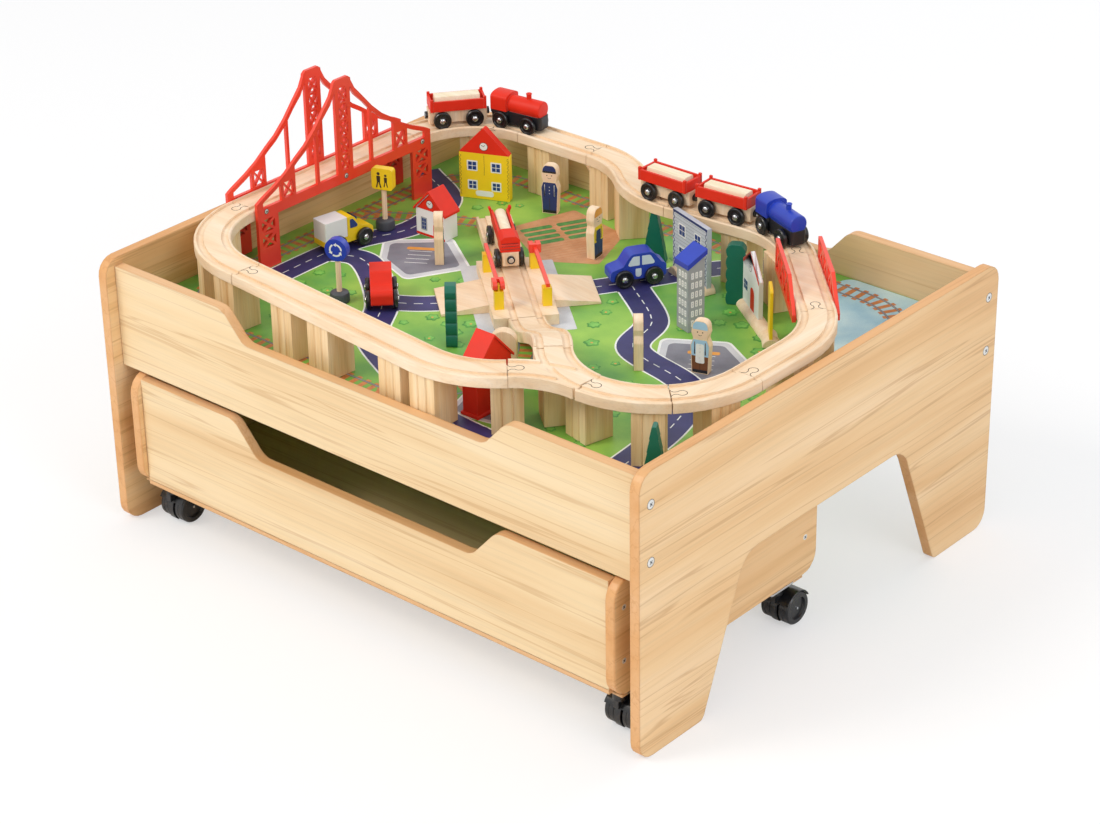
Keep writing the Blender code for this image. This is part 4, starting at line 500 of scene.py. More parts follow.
# Track: each length is beech, and everything under its lower face is a pine pillar.
turnedLengths = ("bridge_deck", "right_run", "right_curve")
for node in ("front_right_curve", "right_curve", "right_run", "back_right_track",
             "s_curve_track", "back_track", "back_left_curve", "front_left_curve", "front_track",
             "switch_track", "small_bridge_track", "bridge_deck"):
    grain = "beechTrackTurned" if node in turnedLengths else "beechTrack"
    if node == "small_bridge_track":
        grain = "beechTrackSlant"
    smoothCopy(node, node + "_wood", [wood[grain], wood["pinePillar"]], "table", underTrack)
smoothCopy("ramp_track", "ramp_track_wood", [wood["beechTrackSlant"]], "table")
smoothCopy("level_crossing", "level_crossing_wood", [wood["beechTrackSlant"], coat["yellowPaint"]], "table",
           overPlanks)
for side in ("left", "right"):
    smoothCopy(f"barrier_arm_{side}", f"barrier_arm_{side}_painted", [coat["redPlastic"]], f"{side}_barrier")
for node in ("bridge_outer_truss", "bridge_inner_truss", "small_bridge_parapets"):
    smoothCopy(node, node + "_moulded", [coat["redPlastic"]], "table")
print("track and bridges dressed")


# Rod: a plain turned bar that reaches as far to either side.
def rod(radius, reach):
    return turned([(0, -reach), (radius, -reach), (radius, reach), (0, reach)], 16)


caster = {"radius": 18.7, "width": 13.0, "gap": 9.2, "axleZ": 18.9, "axle": 1.4, "axleReach": 17.1,
          "side": 322.9, "frontY": -252.5, "backY": 2.5}


# Caster wheels: a ribbed tread with a dished face, turned about the axle.
def casterWheels(x, y):
    r, half = caster["radius"], caster["width"] / 2
    profile = [(0, 2.5 - half), (r - 7, 2.5 - half), (r - 6, -half), (r - 1.5, -half),
               (r, 1.5 - half), (r, -1), (r - 0.5, -0.6), (r - 0.5, 0.6), (r, 1), (r, half - 1.5),
               (r - 1.5, half), (r - 6, half), (r - 7, half - 2.5), (0, half - 2.5)]
    parts = []
    for side in (-1, 1):
        apart = Matrix.Translation((x + side * (caster["gap"] / 2 + half), y, caster["axleZ"])) @ alongX
        parts.append((placed(turned(profile, 48), apart), coat["blackPlastic"]))
    axle = placed(rod(caster["axle"], caster["axleReach"]),
                  Matrix.Translation((x, y, caster["axleZ"])) @ alongX)
    return parts + [(axle, coat["steel"])]


for end in ("front", "back"):
    for hand, side in (("left", -1), ("right", 1)):
        place = f"{end}_{hand}"
        smoothCopy(f"caster_hood_{place}", f"caster_hood_{place}_moulded", [coat["blackPlastic"]],
                   f"caster_{place}")
        makePiece(f"caster_wheels_{place}_turned", casterWheels(side * caster["side"], caster[end + "Y"]),
                  f"wheels_{place}", [f"caster_wheels_{place}"])
print("casters made")


wheel = {"radius": 10.5, "width": 5.0, "rod": 1.6}


# Rail and road wheel: a tread with a step, a dished face and a domed plated cap, turned about the axle.
def wheelParts(x, y, way, r):
    half = wheel["width"] / 2
    tread = turned([(0, -half), (r - 0.8, -half), (r, -half + 0.8), (r, half - 1.1), (r - 0.9, half),
                    (r - 2.6, half), (r - 3.2, half - 0.9), (4.6, half - 0.9), (4.1, half + 0.1),
                    (0, half + 0.1)], 40)
    dome = turned([(3.3, half - 0.2), (3.3, half + 0.5), (2.6, half + 1.2), (1.4, half + 1.6),
                   (0, half + 1.7)], 24)
    outward = Matrix.Translation((x, y, r)) @ Matrix.Rotation(-way * math.pi / 2, 4, "X")
    return moved([(tread, coat["blackPlastic"]), (dome, coat["steel"])], outward)


# Two axles, half a wheelbase before and behind a middle, with a wheel at either end of each.
def wheelSet(wheelbase, across, middle=0.0, radius=wheel["radius"]):
    parts = []
    for x in (middle - wheelbase / 2, middle + wheelbase / 2):
        parts.append((placed(rod(wheel["rod"], across), Matrix.Translation((x, 0, radius)) @ alongY),
                      coat["steel"]))
        for way in (-1, 1):
            parts += wheelParts(x, way * across, way, radius)
    return parts


# Coupler: a black cup with a bright magnet in it, turned about the train's length.
def coupler(x, z, way):
    cup = turned([(0, -1), (4.4, -1), (4.4, 2.2), (3.5, 2.6), (3.2, 1.9), (0, 1.9)], 28)
    magnet = turned([(3.1, 1.5), (3.1, 2.2), (2.8, 2.4), (0, 2.4)], 24)
    outward = Matrix.Translation((x, 0, z)) @ Matrix.Rotation(way * math.pi / 2, 4, "Y")
    return moved([(cup, coat["blackPlastic"]), (magnet, coat["steel"])], outward)


wagon = {"length": 70, "chassisWidth": 18.4, "low": 6.2, "top": 22, "trayWidth": 30,
         "trayTop": 35, "wall": 2.6, "lug": 3.575, "lugRise": 2.6, "loadTop": 36.5, "wheelbase": 38,
         "across": 13.4}


# Wagon: a bare block under a red tray with raised corner lugs, and a planed load that narrows upwards.
def wagonParts(w):
    red = coat["redPaint"]
    tray, middle = w["length"] - 4, (w["low"] + w["top"]) / 2
    height = w["trayTop"] - w["top"] - 0.6
    centre = w["top"] + 0.2 + height / 2
    sideAt, endAt, lugAt = (w["trayWidth"] - w["wall"]) / 2, (tray - w["wall"]) / 2, (tray - w["lug"]) / 2
    parts = [(slab((w["length"] - 1, w["chassisWidth"], w["top"] - w["low"]), (0, 0, middle), 1.5),
              wood["bareToy"])]
    for way in (-1, 1):
        parts.append((slab((tray, w["wall"], height), (0, way * sideAt, centre), 0.8), red))
        parts.append((slab((w["wall"], w["trayWidth"] - 0.6, height - 0.4), (way * endAt, 0, centre), 0.6),
                      red))
        for side in (-1, 1):
            corner = (way * lugAt, side * sideAt, centre + w["lugRise"] / 2)
            parts.append((slab((w["lug"], w["wall"] + 0.8, height + w["lugRise"]), corner, 1.0), red))
    parts.append((slab((tray - 1, w["trayWidth"] - 1, 3), (0, 0, w["top"] + 1.7), 0.8), red))
    inner = w["trayWidth"] / 2 - w["wall"]
    broad, narrow, reach = inner - 2.4, inner - 5.6, tray / 2 - w["wall"] - 4
    low, high = w["top"] + 3.4, w["loadTop"] - 0.2
    load = rounded([(-broad, low), (broad, low), (narrow, high, 1.2), (-narrow, high, 1.2)])
    parts.append((placed(prism(load, -reach, reach), endOn), wood["birchLoad"]))
    for way in (-1, 1):
        parts += coupler(way * (w["length"] / 2 + 0.4), middle, way)
    return parts + wheelSet(w["wheelbase"], w["across"])


engine = {"length": 70, "width": 19, "low": 6.2, "top": 21.5, "cabWidth": 26, "cabTop": 42, "cabLength": 22,
          "boiler": 10.6, "boilerZ": 28.3, "chimney": 3.0, "chimneyAt": 22, "wheelbase": 38, "across": 13.4}


# Engine: a black bed, a cab whose roof height = side + rise * sin(t)^0.8, a turned boiler and chimney.
def engineParts(e, body):
    half, side = e["length"] / 2, e["width"] / 2
    bed = rounded([(0.5 - half, -side, 3), (half - 0.5, -side, 4), (half - 0.5, side, 4),
                   (0.5 - half, side, 3)])
    parts = [(prism(bed, e["low"], e["top"]), coat["blackPaint"])]
    side = e["cabWidth"] / 2
    foot = oblong(1 - half, e["cabLength"] + 4 - half, 1.5 - side, side - 1.5, 1)
    parts.append((prism(foot, e["top"] - 4.2, e["top"] + 0.4), coat["blackPaint"]))
    t = np.linspace(0, math.pi, 17)
    arch = np.stack([side * np.cos(t), e["cabTop"] - 6.0 + 6.0 * np.sin(t) ** 0.8], -1)
    shoulder = e["cabTop"] - 7
    outline = np.concatenate([[(side, e["top"]), (side, shoulder)], arch,
                              [(-side, shoulder), (-side, e["top"])]])
    parts.append((placed(prism(outline, 2 - half, e["cabLength"] + 2 - half), endOn), body))
    r, back, front, z = e["boiler"], e["cabLength"] - half, half - 2, e["boilerZ"]
    barrel = turned([(0, back), (r, back), (r, front - 1.6), (r - 0.5, front - 0.5), (r - 1.7, front),
                     (0, front)], 40)
    parts.append((placed(barrel, Matrix.Translation((0, 0, z)) @ alongX), body))
    parts.append((slab((front - back - 3, 17, 6), ((front + back) / 2 - 1, 0, e["top"] + 2), 1), body))
    c = e["chimney"]
    stack = turned([(0, 5), (c, 5), (c, 15.6), (c + 0.5, 16.4), (c + 0.5, 17.3), (c - 0.4, 17.5),
                    (c - 1.0, 17.0), (0, 16.6)], 24)
    parts.append((placed(stack, Matrix.Translation((half - e["chimneyAt"], 0, z))), body))
    parts += coupler(-half - 0.4, (e["low"] + e["top"]) / 2, -1)
    return parts + wheelSet(e["wheelbase"], e["across"])


# A place for what runs on the high track.
def onTrack(x, y, heading):
    return spot(x, y, railTop - grooveDepth + seatGap, heading)


for name, look, x, y, heading in (
        ("red_wagon_rear", wagon, 16.87, 189.63, 0.38), ("red_wagon_front", wagon, 93.55, 194.8, 5.0),
        ("log_wagon", {**wagon, "loadTop": 38.2}, -314.75, 205.59, 51.56)):
    makePiece(name + "_painted", wagonParts(look), "table", [name], 0.35, onTrack(x, y, heading))
for name, colour, x, y, heading in (
        ("blue_locomotive", "blue", 170.91, 188.8, 339.18), ("red_locomotive", "red", -248.71, 242.39, 7.05)):
    makePiece(name + "_painted", engineParts(engine, coat[colour + "Paint"]), "table",
              [name], 0.4, onTrack(x, y, heading))

longWagon = {"length": 92, "chassisWidth": 18.4, "low": 6.2, "top": 22, "front": 24,
             "frontWidth": 22, "log": 6.8, "logZ": 30.5, "wheelbase": 62, "across": 13.3, "wheel": 10.4,
             "fromCrossing": 91}


# The crossing's long wagon: a red box front with tile lines, a round load between two walls, and a flared
# stake on either side at the back.
def longWagonParts(w):
    red = coat["redPaint"]
    half, middle = w["length"] / 2, (w["low"] + w["top"]) / 2
    chassis = slab((w["length"] - 1, w["chassisWidth"], w["top"] - w["low"]), (0, 0, middle), 1.5)
    parts = [(chassis, wood["bareToy"]),
             (slab((w["front"], w["frontWidth"], 8.5), (14 - half, 0, 26.4), 1.2), red)]
    side = w["frontWidth"] / 2
    hood = rounded([(-side, 30), (side, 30), (side, 36, 2), (6.5, 40, 2), (-6.5, 40, 2), (-side, 36, 2)])
    parts.append((placed(prism(hood, 2.5 - half, w["front"] + 2 - half), endOn), red))
    for k in range(3):
        parts.append((slab((0.3, 20.6 - k, 0.5), (1.95 - half, 0, 25.5 + 3.4 * k), 0), coat["blackPaint"]))
    log = prism(disc(w["log"], 36, (0, w["logZ"])), w["front"] + 2.5 - half, half - 6)
    parts.append((placed(log, endOn), wood["birchLoad"]))
    for side in (-1, 1):
        parts.append((slab((w["length"] - 32, 2.6, 13), (13.5, side * 8.6, 28.6), 0.8), red))
        stake = rounded([(7.2, 24), (9.8, 24), (11.2, 33, 1), (13.4, 39, 1), (10.4, 39.6, 1), (8.0, 33, 1)])
        parts.append((placed(prism(stake * (side, 1), half - 7, half - 2), endOn), red))
    parts += coupler(-half - 0.4, middle, -1) + coupler(half + 0.4, middle, 1)
    return parts + wheelSet(w["wheelbase"], w["across"], 0.0, w["wheel"])


ahead = math.radians(crossing["heading"])
wagonX = crossing["x"] + longWagon["fromCrossing"] * math.cos(ahead)
wagonY = crossing["y"] + longWagon["fromCrossing"] * math.sin(ahead)
makePiece("crossing_wagon_painted", longWagonParts(longWagon), "crossing_wagon",
          ["crossing_wagon"], 0.35,
          spot(wagonX, wagonY, standing + trackThick - grooveDepth + seatGap, crossing["heading"]))
print("trains made")


# Road car: a side outline carried across the width, with windows on both sides and the same wheels.
def carParts(outline, width, paint, windows, wheelbase, middle=0.0, across=13.3):
    parts = [(placed(prism(rounded(outline), -width / 2, width / 2), upright), paint)]
    for corners, finish in windows:
        for side in (-1, 1):
            parts.append((onFace(rounded(corners, 3), side * (width / 2 + 0.02), -0.14, 0.14), finish))
    return parts + wheelSet(wheelbase, across, middle)


car = {"half": 32, "low": 8, "waist": 23, "top": 38, "width": 22, "wheelbase": 34}
h, low, waist, top = car["half"], car["low"], car["waist"], car["top"]
outline = [(-h, low, 3), (h, low, 3), (h, waist - 3, 5), (h * 0.56, waist + 1, 6), (h * 0.26, top, 8),
           (-h * 0.5, top, 9), (-h * 0.82, waist + 2, 5), (-h, waist - 1, 3)]
sill, head = waist + 1, top - 3
windows = [[(-h * 0.62, sill, 2), (-h * 0.12, sill, 1), (-h * 0.12, head, 1), (-h * 0.42, head, 3)],
           [(-h * 0.04, sill, 1), (h * 0.42, sill, 2), (h * 0.2, head, 3), (-h * 0.04, head, 1)],
           [(-3.2, 10.5, 3), (3.6, 10.5, 3), (3.6, 20.5, 1.2), (-3.2, 20.5, 1.2)]]
parts = carParts(outline, car["width"], coat["bluePaint"], [(w, coat["windowPale"]) for w in windows],
                 car["wheelbase"])
makePiece("blue_car_painted", parts, "table", ["blue_car"], 0.5, onBoard(25, 120, 238))

van = {"half": 29, "low": 8, "top": 36, "width": 24, "wheelbase": 32, "across": 14.8}
h, low, top = van["half"], van["low"], van["top"]
outline = [(-h, low, 3), (h, low, 3), (h, 24, 6), (h * 0.32, 26, 5), (0, top, 6), (-h, top, 5)]
parts = carParts(outline, van["width"], coat["redPaint"], [], van["wheelbase"], 0.0, van["across"])
makePiece("red_car_painted", parts, "red_car", ["red_car"], 0.6, onBoard(-156, -92, -45))

truck = {"half": 33, "low": 8, "bed": 16, "top": 38, "width": 22, "boxTop": 39, "boxWidth": 24,
         "wheelbase": 36, "across": 14.3}
h, low, bed, top = truck["half"], truck["low"], truck["bed"], truck["top"]
outline = [(-h, low, 3), (h, low, 3), (h, 20, 5), (h * 0.5, 24, 5), (h * 0.2, top, 5), (-2, top, 1),
           (-2, bed), (-h, bed)]
window = [(1.5, 24, 1), (h * 0.42, 24, 2), (h * 0.17, 35, 2), (1.5, 35, 1)]
parts = carParts(outline, truck["width"], coat["yellowPaint"], [(window, coat["windowDark"])],
                 truck["wheelbase"], 1.0, truck["across"])
boxLow = bed + 0.2
box = slab((h - 3, truck["boxWidth"], truck["boxTop"] - boxLow),
           (-h / 2 - 1, 0, (truck["boxTop"] + boxLow) / 2), 1.2)
parts += [(box, coat["whitePaint"]), (slab((0.3, 17, 9), (h * 0.36, 0, 30), 1), coat["windowDark"])]
makePiece("yellow_truck_painted", parts, "yellow_truck", ["yellow_truck"], 0.5,
          onBoard(-289, -14, 80))
print("cars made")


# Window: small panes in a pale surround, round a middle (x, z) of the face at y.
def windowParts(x, z, width, height, y, glass="windowDark", surround="whitePaint", rows=2, cols=2):
    border, bar = 1.2, 0.4
    edge = oblong(x - width / 2, x + width / 2, z - height / 2, z + height / 2, 0.8, steps=3)
    parts = [(onFace(edge, y, -0.05, 0.12), coat[surround])]
    w, h = (width - 2 * border) / cols, (height - 2 * border) / rows
    for i in range(cols):
        for j in range(rows):
            left, low = x - width / 2 + border + w * i, z - height / 2 + border + h * j
            leaf = oblong(left + bar, left + w - bar, low + bar, low + h - bar)
            parts.append((onFace(leaf, y, 0.0, 0.22), coat[glass]))
    return parts


# Line drawn through points (x, z): its outline runs half a width to either side along the path's normal.
def inkLine(points, y, width=0.5, finish="inkLine"):
    p = np.array(points, float)
    d = np.gradient(p, axis=0)
    n = np.stack([-d[:, 1], d[:, 0]], -1) / np.maximum(np.hypot(*d.T), 1e-6)[:, None] * width / 2
    return onFace(np.concatenate([p + n, (p - n)[::-1]]), y), coat[finish]


# Stepped border up both sides: x = side * (edge + step * the sign of sin(z * pace)), for z from low to high.
def steppedBorder(edge, step, pace, low, high, count, y, width, finish="inkLine"):
    z = np.linspace(low, high, count)
    return [inkLine(np.stack([side * (edge + step * np.sign(np.sin(z * pace))), z], -1), y, width, finish)
            for side in (-1, 1)]


# Clock without numerals: a ring, a white dial and two tapered hands.
def clockParts(x, z, y, radius=5.2):
    parts = [(onFace(disc(radius, 32, (x, z)), y, 0, 0.14), coat["inkLine"]),
             (onFace(disc(radius - 0.6, 32, (x, z)), y, 0, 0.2), coat["whitePaint"])]
    for angle, length in ((55, 2.6), (150, 3.4)):
        t = math.radians(angle)
        tip, side = np.array((math.cos(t), math.sin(t))) * length, np.array((-math.sin(t), math.cos(t))) * 0.3
        hand = np.array([side, -side, tip - side, tip + side]) + (x, z)
        parts.append((onFace(hand, y, 0, 0.26), coat["inkLine"]))
    return parts


# Yellow house: a board with a red gable, four windows on each side and a blank name plate.
house = {"width": 61, "eaves": 57, "apex": 89, "thick": 10}
w, e, d = house["width"] / 2, house["eaves"], house["thick"] / 2
walls, gable = rounded([(-w, 0, 1), (w, 0, 1), (w, e), (-w, e)]), rounded([(-w, e), (w, e),
                                                                           (0, house["apex"], 2)])
detail = []
for x in (-14.5, 14.5):
    detail += windowParts(x, 41, 13, 13, -d) + windowParts(x, 17, 12, 12, -d)
detail += clockParts(0, 66, -d)
detail.append((onFace(oblong(-11, 11, 3.5, 10.5, 3), -d, 0, 0.14), coat["whitePaint"]))
detail.append(inkLine([(0.0, 30), (0.2, 42), (0.0, 55)], -d, 0.35))
detail += steppedBorder(w - 1.6, 0.7, 1.3, 3, 54, 60, -d, 0.4)
parts = [(placed(prism(walls, -d, d), upright), coat["yellowPaint"]),
         (placed(prism(gable, -d, d), upright), coat["redPaint"])]
makePiece("yellow_house_painted", parts + bothFaces(detail), "table", ["yellow_house"], 0.35,
          onBoard(-252, 184, 23))


# A gabled block: walls up to the eaves and a peak that leaves room for the roof's thickness.
def gabledBlock(w, d, eaves, ridge):
    return placed(prism([(-w, 0), (w, 0), (w, eaves), (0, ridge - 3), (-w, eaves)], -d, d), upright)


# White house: a small block with a red pitched roof, a many-paned window, a door and a clock in the gable.
cottage = {"width": 42, "depth": 22, "eaves": 33, "ridge": 58, "overhang": 2.5, "skirt": 3}
w, d, e, r = cottage["width"] / 2, cottage["depth"] / 2, cottage["eaves"], cottage["ridge"]
out, drop = w + cottage["overhang"], e - cottage["skirt"]
roof = rounded([(-out, drop), (-w, e - 0.2), (0, r - 3.2), (w, e - 0.2), (out, drop), (out, e),
                (0, r, 1.2), (-out, e)])
parts = [(gabledBlock(w, d, e, r), coat["whitePaint"]),
         (placed(prism(roof, -d - 2.2, d + 2.2), upright), coat["redPaint"]),
         (onFace([(-w + 1.5, e), (w - 1.5, e), (0, r - 4.6)], -d, 0, 0.3), coat["redPaint"])]
parts += clockParts(0, 41, -d - 0.3, 5.0)
parts += windowParts(-9.5, 15, 9, 16, -d, "windowDark", "greyPaint", 3, 2)
parts.append((onFace(oblong(4, 14, 0.5, 20, 0, 4.9), -d, 0, 0.2), coat["redPaint"]))
parts.append((onFace(oblong(-w, w, 0.4, 3.4), -d, 0, 0.12), coat["redPaint"]))
makePiece("white_house_painted", parts, "table", ["white_house"], 0.3, onBoard(-227, 73, 2))

# Red house: a plain tall block on a flange, seen from its end, with a steep roof.
tall = {"width": 52, "depth": 20, "eaves": 54, "ridge": 86, "flange": 2, "overhang": 2.5}
w, d, e, r = tall["width"] / 2, tall["depth"] / 2, tall["eaves"], tall["ridge"]
out, drop = w + tall["overhang"], e - tall["overhang"] * (r - 3 - e) / w
roof = rounded([(-out, drop), (0, r - 3.4), (out, drop), (out, drop + 3), (0, r, 1), (-out, drop + 3)])
parts = [(gabledBlock(w, d, e, r), coat["redPaint"]),
         (slab((2 * (w + tall["flange"]), 2 * (d + tall["flange"]), 3), (0, 0, 1.5), 1), coat["redPaint"]),
         (placed(prism(roof, -d - 2.4, d + 2.4), upright), coat["redPaint"])]
makePiece("red_house_painted", parts, "table", ["red_house"], 0.35, onBoard(95, -200, 90))

# Tower: a grey block with a sloped blue cap and rows of small windows on all four sides.
tower = {"size": 21, "low": 80, "high": 93, "lip": 2, "floors": 6, "floorHeight": 11,
         "windowsAt": (-5.2, 0, 5.2)}
h, low, high, out = tower["size"] / 2, tower["low"], tower["high"], tower["size"] / 2 + tower["lip"]
block = placed(prism([(-h, 0), (h, 0), (h, high - 5), (-h, low - 5)], -h, h), endOn)
cap = placed(prism([(-out, low - 6), (out, high - 6), (out, high), (-out, low)], -out, out), endOn)
parts = [(block, coat["greyPaint"]), (cap, coat["bluePaint"])]
detail = []
for k in range(tower["floors"]):
    for x in tower["windowsAt"]:
        detail += windowParts(x, 10 + tower["floorHeight"] * k, 3.6, 7.5, -h, "windowDark", "whitePaint",
                              2, 1)
for turn in (0, 90, 180, 270):
    parts += moved(detail, Matrix.Rotation(math.radians(turn), 4, "Z"))
makePiece("tower_block_painted", parts, "table", ["tower_block"], 0.3, onBoard(141.5, 70, -16))

# House front on half-round feet: pale brick with four windows and a dark stepped border.
front = {"width": 68, "height": 77, "thick": 6, "foot": 9, "footWidth": 14, "course": 4.0}
w, h, d = front["width"] / 2, front["height"], front["thick"] / 2
parts = [(placed(prism(oblong(-w, w, 4, h), -d, d), upright), coat["paleGrey"])]
for side in (-1, 1):
    foot = prism(arc(front["foot"], 0, math.pi, 21, (side * (w - 6), 0)), -front["footWidth"] / 2,
                 front["footWidth"] / 2)
    parts.append((placed(foot, upright), wood["bareToy"]))
detail = [(onFace(oblong(3 - w, w - 3, z, z + 0.4), -d, 0, 0.08), coat["pavementInk"])
          for z in np.arange(12, h - 3, front["course"])]
for x in (-15.5, 15.5):
    for z in (30, 57):
        detail += windowParts(x, z, 14, 15, -d)
detail += steppedBorder(w - 2.2, 0.9, 0.9, 8, h - 3, 80, -d, 0.9, "navyCloth")
detail.append((onFace(oblong(-w, w, h - 3, h - 0.2), -d), coat["navyCloth"]))
makePiece("house_front_board_painted", parts + bothFaces(detail), "table",
          ["house_front_board"], 0.25, onBoard(75, 156, -18.7))

# Station panel: a white board with a red roof band and a red door, let into a half log.
station = {"width": 61, "shoulder": 52, "apex": 75, "thick": 5, "log": 103, "logRadius": 9}
w, s, a, d = station["width"] / 2, station["shoulder"], station["apex"], station["thick"] / 2
halfLog = arc(station["logRadius"], 0, math.pi, 21)
parts = [(placed(prism([(-w, 3), (w, 3), (w, s), (0, a), (-w, s)], -d, d), upright), coat["whitePaint"]),
         (placed(prism(halfLog, -w, station["log"] - w), endOn), wood["bareToy"])]
detail = [(onFace([(-w, s - 4), (0, a - 5), (w, s - 4), (w, s), (0, a), (-w, s)], -d), coat["redPaint"]),
          (onFace(oblong(2, 15, 9.5, 36, 0, 6.4), -d), coat["redPaint"])]
detail += windowParts(-14, 30, 15, 14, -d) + clockParts(0, 56, -d, 4.6)
makePiece("station_panel_painted", parts + bothFaces(detail), "table", ["station_panel"], 0.25,
          onBoard(174, 134, -35))
print("houses made")

# Figures: a flat bare-wood person with cap, face, coat and shoes printed on both faces.
person = {"wide": 10.5, "tall": 60, "thick": 10, "neck": 39.6, "head": 9.66}
wide, high, neck, head = (person[k] for k in ("wide", "tall", "neck", "head"))
rightSide = [(wide * 0.85, 0), (wide * 0.92, high * 0.3, 8), (wide, neck - 8, 5), (wide * 0.72, neck, 3),
             (head, neck + 7, 4), (head * 0.85, high, 7)]
body = rounded([(-rightSide[0][0], 0), *rightSide, *[(-x, *more) for x, *more in rightSide[:0:-1]]], 6)


# Half width of the body at a height, read between the points of its right side.
def halfWidth(z):
    right = body[body[:, 0] > 0]
    order = np.argsort(right[:, 1])
    return np.interp(z, right[order, 1], right[order, 0])


# Closed outline between two heights, whose sides follow the body: x = half width(z) - inset.
def bodyBand(low, top, inset=0.7, count=14):
    z = np.linspace(low, top, count)
    x = np.maximum(halfWidth(z) - inset, 0.5)
    return np.concatenate([np.stack([x, z], -1), np.stack([-x, z], -1)[::-1]])


# Figure: the body's outline through its thickness, with clothes and a plain face laid on as bands and lines.
def figureParts(look):
    d = person["thick"] / 2
    ink = coat["inkLine"]
    detail = [(onFace(bodyBand(20, 38.6), -d, 0, 0.10), look["top"]),
              (onFace(bodyBand(4.5, 20), -d, 0, 0.10), look["legs"]),
              (onFace(bodyBand(0.8, 4.5), -d, 0, 0.10), look["shoes"]),
              (onFace(bodyBand(40.2, 52.5, 1.4), -d, 0, 0.10), coat["skin"]),
              (onFace(bodyBand(51.5, 59.2, 0.9), -d, 0, 0.14), look["cap"]),
              (onFace(rounded([(-8.6, 50.4, 1), (8.6, 50.4, 1), (8.0, 52.6, 1), (-8.0, 52.6, 1)]), -d, 0,
                      0.2), look["brim"]),
              (onFace(oblong(-0.25, 0.25, 5, 19), -d), ink)]
    for side in (-1, 1):
        detail.append((onFace(disc(0.7, 14, (side * 2.8, 47.4)), -d, 0, 0.2), ink))
        arm = rounded([(side * 5.4, 22, 1), (side * 6.2, 22, 1), (side * 6.2, 36, 0.4),
                       (side * 5.4, 36, 0.4)])
        detail.append((onFace(arm, -d, 0, 0.18), look["line"]))
    x = np.linspace(-2.0, 2.0, 9)
    detail.append(inkLine(np.stack([x, 43.6 + 0.22 * x ** 2], -1), -d, 0.45))
    detail += [(onFace(disc(0.55, 12, (0, z)), -d, 0, 0.2), look["line"]) for z in (25, 29, 33)]
    if "apron" in look:
        apron = rounded([(-5, 12, 2), (5, 12, 2), (4.4, 34, 1.5), (-4.4, 34, 1.5)])
        detail.append((onFace(apron, -d, 0, 0.2), look["apron"]))
    return [(placed(prism(body, -d, d), upright), wood["bareToy"])] + bothFaces(detail)


navy, white, black, brown = coat["navyCloth"], coat["whitePaint"], coat["blackPaint"], coat["brownPaint"]
sky, straw = coat["skyPaint"], printed["orange"]
officer = {"top": navy, "legs": navy, "shoes": black, "cap": navy, "brim": black, "line": white}
farmer = {"top": coat["yellowPaint"], "legs": navy, "shoes": coat["inkLine"], "cap": straw,
          "brim": straw, "line": navy, "apron": navy}
baker = {"top": sky, "legs": brown, "shoes": black, "cap": sky, "brim": sky, "line": brown, "apron": white}
for name, look, x, y, heading in (("officer", officer, -167, 201, 22), ("farmer", farmer, -51, 141, 100),
                                  ("baker", baker, 214, -3, 18)):
    makePiece(f"{name}_figure_painted", figureParts(look), "table", [f"{name}_figure"], 0.5,
              onBoard(x, y, heading))
# Two more figures stand edge-on to the viewer and show bare wood.
edgeOn = 131  # degrees, at which the camera sees a thin side
plain = {"top": coat["greenPaint"], "legs": brown, "shoes": black, "cap": coat["redPaint"],
         "brim": coat["redPaint"], "line": white}
for side, x, y in (("left", -176, 22), ("right", 157, -36)):
    makePiece(f"edge_figure_{side}", figureParts(plain), "table", (), 0.5,
              onBoard(x, y, edgeOn))
print("figures made")


# Tree: half width as a function of height, cut from one board. A wavy one bulges as the root of |sin| of the
# height and closes at the top; a notched one narrows along each step and springs back a little.
def treeOutline(wavy, height, halfWidth=14, count=5):
    z = np.linspace(0, height, 121)
    k = z / height * count
    step = k - np.floor(k)
    if wavy:
        x = halfWidth * (0.60 + 0.15 * np.sqrt(np.abs(np.sin(math.pi * step))))
        x = np.where(z > height - 6, x * np.sqrt(np.clip((height - z) / 6, 0, 1)) * 0.5 + x * 0.5, x)
    else:
        x = halfWidth * (1.0 - 0.8 * np.floor(k) / count - 0.2 * step - 0.04) + 0.35
        x = np.where(z >= height - 1e-6, 0.3, x)
    return np.concatenate([np.stack([x, z], -1), np.stack([-x, z], -1)[::-1]])


for name, wavy, replaced, x, y, heading, high in (
        ("wavy_tree_painted", True, ["wavy_tree"], -29, -118, edgeOn, 70),
        ("corner_tree_painted", False, ["corner_tree"], 330, -222, 30, 70),
        ("back_tree", False, (), 7, 175.5, 28, 66), ("middle_tree", True, (), 142.5, 147, 28, 71)):
    shape = placed(prism(treeOutline(wavy, high - 0.4), -6, 6), upright)
    makePiece(name, [(shape, coat["greenPaint"])], "table", replaced, 0.5,
              onBoard(x, y, heading))

sign = {"high": 75, "plate": 13, "corner": 4, "thick": 9, "post": 3, "foot": 11, "arrowIn": 5.6,
        "arrowOut": 7.6}


# Road sign: a thick painted plate on a bare post in a turned foot, with the same picture on both faces.
def signParts(plate, colour, detail):
    d, mid, f = sign["thick"] / 2, sign["high"] - sign["plate"], sign["foot"]
    foot = turned([(0, 0), (f - 0.8, 0), (f, 0.8), (f, 7.5), (f - 1, 10.6), (f - 3.5, 12), (0, 12)], 40)
    post = turned([(0, 10), (sign["post"], 10), (sign["post"], mid - 9), (0, mid - 9)], 24)
    facing = [(onFace(np.array(outline, float) + (0, mid), -d), ink) for outline, ink in detail]
    return [(foot, coat["darkPlastic"]), (post, wood["bareToy"]),
            (placed(prism(plate + (0, mid), -d, d), upright), coat[colour])] + bothFaces(facing)


